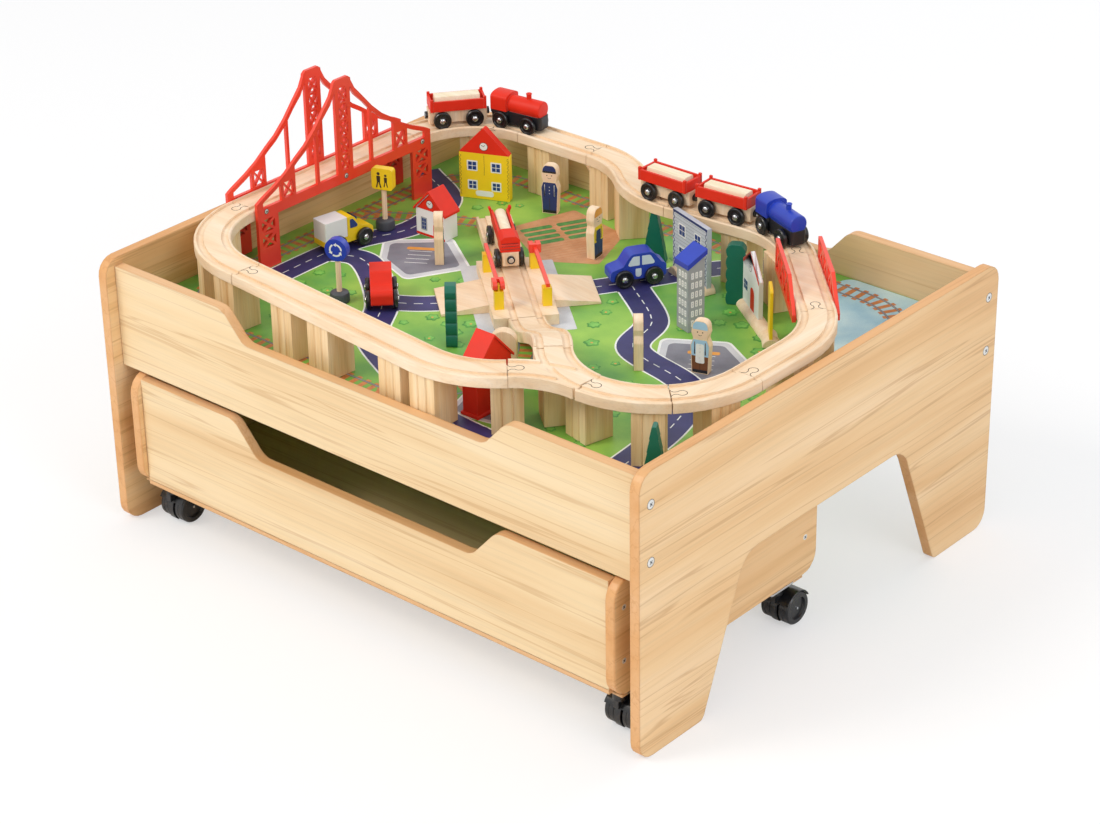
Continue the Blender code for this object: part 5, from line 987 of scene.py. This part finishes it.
# Turning arrows: three arcs between two radii, each with a pointed head at its end.
def turningArrows():
    found = []
    for k in range(3):
        first = k * 2 * math.pi / 3
        tip = first + 1.45
        band = np.concatenate([arc(sign["arrowOut"], first, tip, 15),
                               arc(sign["arrowIn"], first, tip, 15)[::-1]])
        corners = ((4.2, tip), (9.0, tip), (6.6, tip + 0.5))
        head = [(q * math.cos(t), q * math.sin(t)) for q, t in corners]
        found += [(band, coat["whitePaint"]), (head, coat["whitePaint"])]
    return found


# Two walking figures, each a head, a body and two legs, scaled by their size.
def walkers():
    found = []
    for x, size in ((-4.2, 1.0), (4.6, 0.82)):
        found.append(disc(1.9 * size, 20, (x, 8.6 * size - 2)))
        found.append(rounded([(x - 2.0 * size, -2 - 2 * size, 0.8), (x + 2.0 * size, -2 - 2 * size, 0.8),
                              (x + 2.4 * size, 6 * size - 2, 1), (x - 2.4 * size, 6 * size - 2, 1)]))
        for step in (-1, 1):
            hip, foot = -2 - 1.6 * size, -2 - 8.6 * size
            found.append([(x + step * 0.2, hip), (x + step * 1.8 * size, hip), (x + step * 3.4 * size, foot),
                          (x + step * 1.8 * size, foot)])
    return [(outline, coat["inkLine"]) for outline in found]


q = sign["plate"]
makePiece("yellow_sign_painted",
          signParts(oblong(-q, q, -q, q, sign["corner"]), "yellowPaint", walkers()), "table",
          ["yellow_sign"], 0.35, onBoard(-285, 49, 20))
makePiece("blue_sign_painted", signParts(disc(q, 56), "bluePaint", turningArrows()), "table",
          ["blue_sign"], 0.35, onBoard(-193, -119, 20))
# A thin yellow board seen edge-on stands in a half log, and an arched block stands behind the red house.
thin = [(placed(prism(oblong(-13, 13, 5, 66, 1, 4), -1.8, 1.8), upright),
         coat["yellowPaint"]), (placed(prism(halfLog, -14, 14), endOn), wood["bareToy"])]
makePiece("edge_board", thin, "table", (), 0.35, onBoard(228, 95, edgeOn))
arched = placed(prism(oblong(-14, 14, 0, 44, 0, 13.8, 10), -6, 6), upright)
makePiece("arched_block", [(arched, wood["bareToy"])], "table", (), 0.8, onBoard(50, -124, 36))
print("trees and signs made")


# Unit normal to the left of a path at each of its points, from the points on either side.
def sideways(path, closed=False):
    ahead = np.roll(path, -1, 0) - np.roll(path, 1, 0) if closed else np.gradient(path, axis=0)
    return np.stack([-ahead[:, 1], ahead[:, 0]], -1) / np.hypot(*ahead.T)[:, None]


# Strip along a path: four corners of a flat section, carried along the path's own normal.
def strip(points, width, low, high, closed=False):
    p = np.array(points, float)
    n = sideways(p, closed) * width / 2
    flat = [np.c_[edge, np.full(len(p), z)]
            for edge, z in ((p + n, low), (p - n, low), (p - n, high), (p + n, high))]
    faces = gridFaces(len(p), 4, closed, True)
    if not closed:
        last = 4 * (len(p) - 1)
        faces += [[3, 2, 1, 0], [last, last + 1, last + 2, last + 3]]
    return np.stack(flat, 1).reshape(-1, 3), faces


# Smooth path through marks: each span is a cubic that takes its slope from the marks on either side.
def smoothPath(marks, steps=14, closed=False):
    p = np.array(marks, float)
    if closed:
        q = np.concatenate([p[-1:], p, p[:2]])
    else:
        q = np.concatenate([2 * p[:1] - p[1:2], p, 2 * p[-1:] - p[-2:-1]])
    t = (np.arange(steps) / steps)[:, None]
    spans = [0.5 * (2 * q[k] + (q[k + 1] - q[k - 1]) * t
                    + (2 * q[k - 1] - 5 * q[k] + 4 * q[k + 1] - q[k + 2]) * t ** 2
                    + (3 * q[k] - q[k - 1] - 3 * q[k + 1] + q[k + 2]) * t ** 3) for k in range(1, len(q) - 2)]
    path = np.concatenate(spans)
    return path if closed else np.concatenate([path, p[-1:]])


# Equal steps along a path, with the direction at each in degrees.
def alongPath(path, gap, start=0.0):
    reach = np.concatenate([[0], np.cumsum(np.hypot(*np.diff(path, axis=0).T))])
    at = np.arange(start, reach[-1], gap)
    xy, further, before = (np.stack([np.interp(at + shift, reach, path[:, k]) for k in (0, 1)], -1)
                           for shift in (0, 0.5, -0.5))
    way = further - before
    return xy, np.degrees(np.arctan2(way[:, 1], way[:, 0]))


# Distance from each place to the nearest of some marks.
def nearest(places, marks):
    return np.min(np.hypot(*(places[:, None] - marks[None]).transpose(2, 0, 1)), 1)


# Ink: a very thin prism on the board, between two heights over it.
def inked(outline, high, low=0.02):
    return prism(outline, boardTop + low, boardTop + high)


# Printed town: lanes, yards, a field, a railway round the edge with a branch, bushes and a pond corner.
town = {
    "roadWidth": 35, "kerbWidth": 39, "dash": 10, "dashGap": 18,
    "roads": [[(-290, -274), (-291, -160), (-289, -14), (-262, 70), (-284, 150), (-362, 196)],
              [(-289, -40), (-240, -30), (-156, -92), (-105, -160), (-20, -206), (40, -240),
               (150, -252), (282, -246)],
              [(170, 274), (84, 214), (25, 120), (-49.5, 8.6), (-112, -62), (-156, -92)],
              [(282, -246), (266, -120), (226, -40), (128, -8), (100, 56), (25, 112)]],
    "rails": [(-334, -246), (334, -246), (334, 246), (-334, 246)], "railBend": 96, "railGauge": 8.5,
    "sleeper": (6.2, 27), "sleeperGap": 12.4,
    "branch": [(-330, 60), (-250, 110), (-180, 128), (-118, 68), (10, -44), (60, -120),
               (40, -200), (-20, -246)],
    "field": [(-176, 138), (-150, 222), (-62, 206), (-34, 128), (-92, 92)], "fieldHeading": 62,
    "yards": [[(-262, 24), (-206, 74), (-140, 30), (-176, -34), (-232, -14)],
              [(136, 30), (196, 66), (262, 30), (240, -34), (172, -26)],
              [(52, -176), (112, -170), (126, -222), (70, -232)]],
    "yardHeading": 32,
    "pond": [(330, 274), (192, 274), (204, 244), (226, 216), (240, 180), (268, 132), (296, 60),
             (326, 6), (322, -60), (362, -96), (362, 274)],
    "bushes": 90, "bushGap": 21, "bushFromLane": 30, "bushFromYard": 62,
}
lanes = [smoothPath(marks) for marks in town["roads"]]
parts = [(strip(lane, town["kerbWidth"], boardTop + 0.02, boardTop + 0.08), printed["kerb"])
         for lane in lanes]
for k, lane in enumerate(lanes):
    parts.append((strip(lane, town["roadWidth"], boardTop + 0.03, boardTop + 0.12 + 0.01 * k),
                  printed["road"]))
    for (x, y), heading in zip(*alongPath(lane, town["dashGap"], 8)):
        dash = slab((town["dash"], 1.2, 0.05), (0, 0, boardTop + 0.165), 0.4)
        parts.append((placed(dash, spot(x, y, 0, heading)), printed["kerb"]))
makePiece("printed_roads", parts, "table")


# Railway drawn along a path: sleepers at equal steps and a rail on either side, offset along the normal.
def printedRailway(path, base, closed=False):
    found = []
    for (x, y), heading in zip(*alongPath(np.concatenate([path, path[:1]]) if closed else path,
                                          town["sleeperGap"], 3)):
        sleeper = slab((*town["sleeper"], 0.06), (0, 0, base + 0.05), 0.8, 2)
        found.append((placed(sleeper, spot(x, y, 0, heading)), printed["sleeper"]))
    for hand in (-1, 1):
        line = path + hand * town["railGauge"] * sideways(path, closed)
        found.append((strip(line, 2.6, base + 0.03, base + 0.10, closed), printed["railEdge"]))
        found.append((strip(line, 1.7, base + 0.04, base + 0.115, closed), printed["ironRail"]))
    return found


bends = rounded([(x, y, town["railBend"]) for x, y in town["rails"]], 14)
loop = np.concatenate([np.linspace(a, b, 12, endpoint=False) if np.hypot(*(b - a)) > 60 else a[None]
                       for a, b in zip(bends, np.roll(bends, -1, 0))])
branch = smoothPath(town["branch"])
makePiece("printed_railway", printedRailway(loop, boardTop, True), "table")
# The branch lies a hair lower, so that no two sleepers share a plane where the lines cross.
makePiece("printed_branch", printedRailway(branch, boardTop - 0.007), "table")

parts = []
for marks in town["yards"]:
    corners, middle = rounded([(x, y, 9) for x, y in marks], 5), np.mean(marks, 0)
    for outline, high, ink in ((middle + (corners - middle) * 1.06, 0.05, "kerb"),
                               (corners, 0.06, "pavement"),
                               (middle + (corners - middle) * 0.84, 0.07, "yard")):
        parts.append((inked(outline, high), printed[ink]))
    bays = [(slab((26, 0.9, 0.03), (0, -15 + 10 * k, boardTop + 0.08), 0.2, 1), printed["kerb"])
            for k in range(4)]
    patch = (slab((34, 7, 0.03), (0, 22, boardTop + 0.08), 2), printed["orange"])
    parts += moved([*bays, patch], spot(*middle, 0, town["yardHeading"]))
parts.append((inked(rounded([(x, y, 5) for x, y in town["field"]], 4), 0.125), printed["field"]))
for k in range(15):
    row = np.stack([np.linspace(-40, 40, 16), np.full(16, -42 + 6.0 * k)], -1)
    plough = placed(strip(row, 0.7, boardTop + 0.05, boardTop + 0.14),
                    spot(-102, 158, 0, town["fieldHeading"]))
    parts.append((plough, printed["sleeper"]))
for k in range(4):
    for step in (-1, 1):
        bed = slab((38, 8.6, 0.05), (step * 22, 36 - 12.5 * k, boardTop + 0.14), 3)
        parts.append((placed(bed, spot(-108, 158, 0, town["fieldHeading"])), printed["furrow"]))
square = slab((176, 104, 0.05), (0, 0, boardTop + 0.15), 2)
parts.append((placed(square, spot(crossing["x"], crossing["y"], 0, crossing["heading"])),
              printed["pavement"]))
pond = rounded([(x, y, 14) if 0 < k < 9 else (x, y) for k, (x, y) in enumerate(town["pond"])], 6)
parts.append((inked(pond, 0.03, 0.01), printed["water"]))
makePiece("printed_yards", parts, "table")

# Bushes: radius = size * (1 + 0.13 cos(lobes * t + phase)), thrown at random clear of what else is printed.
chance = np.random.default_rng(11)
tries = chance.uniform((-350, -262), (350, 262), (900, 2))
yards = [np.array(marks, float) for marks in town["yards"]]
ways = np.concatenate([*lanes, branch, loop, *yards, smoothPath(town["field"], 5, True)])
middles = np.array([np.mean(marks, 0) for marks in town["yards"] + [town["field"]]])
taken = (tries[:, 0] > 190) & (tries[:, 1] > 100) | (tries[:, 0] > 296) & (tries[:, 1] > -110)
taken |= (nearest(tries, middles) < town["bushFromYard"]) | (nearest(tries, ways) <= town["bushFromLane"])
chosen = []
for mark in tries[~taken]:
    if all(math.dist(mark, other) > town["bushGap"] for other in chosen):
        chosen.append(mark)
parts = []
for middle in chosen[:town["bushes"]]:
    lobes = chance.integers(5, 8)
    t = np.linspace(0, 2 * math.pi, 40, endpoint=False)
    radius = chance.uniform(5, 9) * (1 + 0.13 * np.cos(lobes * t + chance.uniform(0, 6)))
    bush = radius[:, None] * np.stack([np.cos(t), np.sin(t)], -1)
    parts.append((inked(middle + bush, 0.09), printed["leaf"]))
    parts.append((inked(middle + bush * 0.74 + (-0.6, 0.9), 0.11), printed["leafLight"]))
    if chance.uniform() < 0.45:
        parts.append((inked(disc(1.4, 12, middle), 0.14), printed["orange"]))
makePiece("printed_bushes", parts, "table")
print("board printed")


# Track ends: the dark outline of the joining peg, a neck and a round head, let into the middle ridge.
def pegOutline(head=5.0, neck=2.4, reach=11.5):
    ring = arc(head, math.radians(148), math.radians(-148), 25, (reach, 0))
    return np.concatenate([[(0, 6.4), (1.4, 4.0), (3.4, neck)], ring, [(3.4, -neck), (1.4, -4.0), (0, -6.4)]])


# Where one length of track meets the next: x, y and the heading of the peg.
trackJoints = [(-266, 217, 230), (226.8, -199, 0), (304.6, -166.8, 45), (336.8, -89, 90), (304.6, 70.8, 135),
               (209.8, 165.5, 135), (22.8, 188.6, 185), (-134, 244.7, 180), (-238, 244.7, 180),
               (-338, 144.7, 270), (-338, -117.3, 270), (-218.6, -229.2, 354.5), (147.2, -226.4, 43.5)]
pegLine = strip(pegOutline(), 0.75, railTop - 0.02, railTop + 0.06)
makePiece("track_peg_lines",
          [(placed(pegLine, spot(x, y, 0, heading)), coat["inkLine"]) for x, y, heading in trackJoints],
          "table")


# Cross-head screw: a domed plated head; its cross recess is painted shade and its dark rim a painted shadow.
def screwParts(radius):
    head = turned([(0, -0.6), (radius, -0.6), (radius, 0.1), (radius - 0.9, 0.55), (0, 0.6)], 32)
    # Painted shadow: a dark ring where the head meets the face under it.
    shadowRim = turned([(radius - 0.1, -0.6), (radius + 0.5, -0.6), (radius + 0.5, 0.22), (radius - 0.1, 0.22)], 32)
    # Painted shade: dark bars stand in for the cross recess.
    bar = [(slab((radius * 0.95, 1.0, 0.2), (0, 0, 0.56), 0.4), coat["darkPlastic"])]
    cross = [part for turn in (45, 135) for part in moved(bar, Matrix.Rotation(math.radians(turn), 4, "Z"))]
    return [(head, coat["screwPlate"]), (shadowRim, coat["darkPlastic"]), *cross]


# Screws of one radius at places (x, y, z, way), whose heads face along x with the sign of way.
def screwsAt(places, radius):
    return [part for x, y, z, way in places
            for part in moved(screwParts(radius),
                              Matrix.Translation((x, y, z)) @ Matrix.Rotation(way * math.pi / 2, 4, "Y"))]


screws = {"panelX": 374.8, "panelY": (-283, 283), "panelZ": (284, 221), "panelRadius": 5.0, "drawerX": 342.1,
          "drawerYZ": ((-284, 159), (-284, 98), (9, 103), (9, 159)), "drawerRadius": 3.8}
inPanels = [(side * screws["panelX"], y, z, side) for side in (-1, 1) for y in screws["panelY"]
            for z in screws["panelZ"]]
inDrawer = [(side * screws["drawerX"], y, z, side) for side in (-1, 1) for y, z in screws["drawerYZ"]]
makePiece("panel_screws", screwsAt(inPanels, screws["panelRadius"]), "table")
makePiece("drawer_screws", screwsAt(inDrawer, screws["drawerRadius"]), "drawer")
# The bridge's pegs: plated heads on both faces of each truss, at its ends and its tower.
bridgePegs = {"faces": ((-362.5, -1), (-312.0, 1), (-358.5, 1), (-316.0, -1)),
              "y": (-108, 17.5, 143), "z": 326.5, "radius": 2.6}
inBridge = [(x, y, bridgePegs["z"], way) for x, way in bridgePegs["faces"] for y in bridgePegs["y"]]
makePiece("bridge_pegs", screwsAt(inBridge, bridgePegs["radius"]), "table")
# Caster plates: pressed steel over the mounting pads, which they leave bare along one edge.
casterPlate = {"size": (38.6, 38.6, 2.3), "y": (-261.5, -26.5), "z": 56.75, "corner": 3}
plates = [(slab(casterPlate["size"], (side * caster["side"], y, casterPlate["z"]), casterPlate["corner"]),
           coat["steel"])
          for side in (-1, 1) for y in casterPlate["y"]]
makePiece("caster_plates", plates, "drawer", (), 0.3)
print("pegs and screws made")


# Floor: a wide pale sheet whose material gives the camera some light of its own, so that it stays near white.
def makeFloor(reach=6.0, colour="#fbfbfb", glow=0.5):
    mesh = bpy.data.meshes.new("floor")
    mesh.from_pydata([(-reach, -reach, 0), (reach, -reach, 0), (reach, reach, 0), (-reach, reach, 0)], [],
                     [(0, 1, 2, 3)])
    floor = bpy.data.objects.new("floor", mesh)
    bpy.context.scene.collection.objects.link(floor)
    paper, tree, shader = newFinish("floorPaper")
    coords = addNode(tree, "ShaderNodeTexCoord")
    grain = addNode(tree, "ShaderNodeTexNoise", Vector=coords.outputs["Object"], Scale=40.0)
    shader.inputs["Base Color"].default_value = linear(colour)
    shader.inputs["Roughness"].default_value = 0.9
    seen = addNode(tree, "ShaderNodeLightPath").outputs["Is Camera Ray"]
    share = addNode(tree, "ShaderNodeMath", multiply, s0=seen, s1=glow)
    light = addNode(tree, "ShaderNodeEmission", Color=(1, 1, 1, 1), Strength=1.0)
    blend = addNode(tree, "ShaderNodeMixShader", s0=share.outputs[0], s1=shader.outputs[0],
                    s2=light.outputs[0])
    tree.links.new(blend.outputs[0], tree.nodes["Material Output"].inputs[0])
    bump = addNode(tree, "ShaderNodeBump", Strength=0.02, Distance=0.5 * mm, Height=grain.outputs["Fac"])
    tree.links.new(bump.outputs[0], shader.inputs["Normal"])
    mesh.materials.append(paper)


# World: a soft cool fill on the object, and white where the camera or a reflection looks past it.
def makeWorld(fillColour="#f4f6fa", fillStrength=0.72):
    world = bpy.data.worlds.new("studio")
    bpy.context.scene.world = world
    world.use_nodes = True
    tree = world.node_tree
    tree.nodes.clear()
    ray = addNode(tree, "ShaderNodeLightPath").outputs
    seen = addNode(tree, "ShaderNodeMath", {"operation": "MAXIMUM"}, s0=ray["Is Camera Ray"],
                   s1=ray["Is Glossy Ray"])
    fill = addNode(tree, "ShaderNodeBackground", Color=linear(fillColour), Strength=fillStrength)
    backdrop = addNode(tree, "ShaderNodeBackground", Color=(1, 1, 1, 1), Strength=1.0)
    choice = addNode(tree, "ShaderNodeMixShader", s0=seen.outputs[0], s1=fill.outputs[0],
                     s2=backdrop.outputs[0])
    addNode(tree, "ShaderNodeOutputWorld", s0=choice.outputs[0])


# Lamp: a disc of light that looks at the middle of the table.
def makeLamp(name, place, size, power, colour):
    lamp = bpy.data.lights.new(name, "AREA")
    lamp.shape = "DISK"
    lamp.size = size
    lamp.energy = power
    lamp.color = linear(colour)[:3]
    holder = bpy.data.objects.new(name, lamp)
    bpy.context.scene.collection.objects.link(holder)
    aim = Vector((0, 0, 0.25)) - Vector(place)
    holder.matrix_world = Matrix.Translation(place) @ aim.to_track_quat("-Z", "Y").to_matrix().to_4x4()


view = {"azimuth": 41.358, "elevation": 28.169, "roll": -1.027, "lens": 97.73,
        "place": (1.9004, -2.1559, 1.6762)}


# Camera at the photograph's angle: it looks back along its azimuth and elevation, and rolls about that line.
def makeCamera():
    az, el, roll = (math.radians(view[k]) for k in ("azimuth", "elevation", "roll"))
    back = Vector((math.sin(az) * math.cos(el), -math.cos(az) * math.cos(el), math.sin(el)))
    right = Vector((0, 0, 1)).cross(back).normalized()
    above = back.cross(right)
    across = math.cos(roll) * right + math.sin(roll) * above
    up = -math.sin(roll) * right + math.cos(roll) * above
    lens = bpy.data.cameras.new("photoView")
    lens.lens = view["lens"]
    lens.sensor_width = 36
    lens.clip_start = 0.01
    camera = bpy.data.objects.new("photoView", lens)
    camera.matrix_world = Matrix.Translation(view["place"]) @ Matrix((across, up, back)).transposed().to_4x4()
    bpy.context.scene.collection.objects.link(camera)
    bpy.context.scene.camera = camera


makeFloor()
makeWorld()
makeLamp("keyLamp", (-1.6, -2.9, 3.4), 1.8, 86, "#fff8ee")
makeLamp("sideLamp", (3.2, -0.8, 2.4), 2.0, 34, "#f6f8ff")
makeLamp("backLamp", (0.4, 3.0, 2.6), 1.8, 22, "#ffffff")
makeCamera()
bpy.context.scene.view_settings.view_transform = "Standard"

print("scene ready")
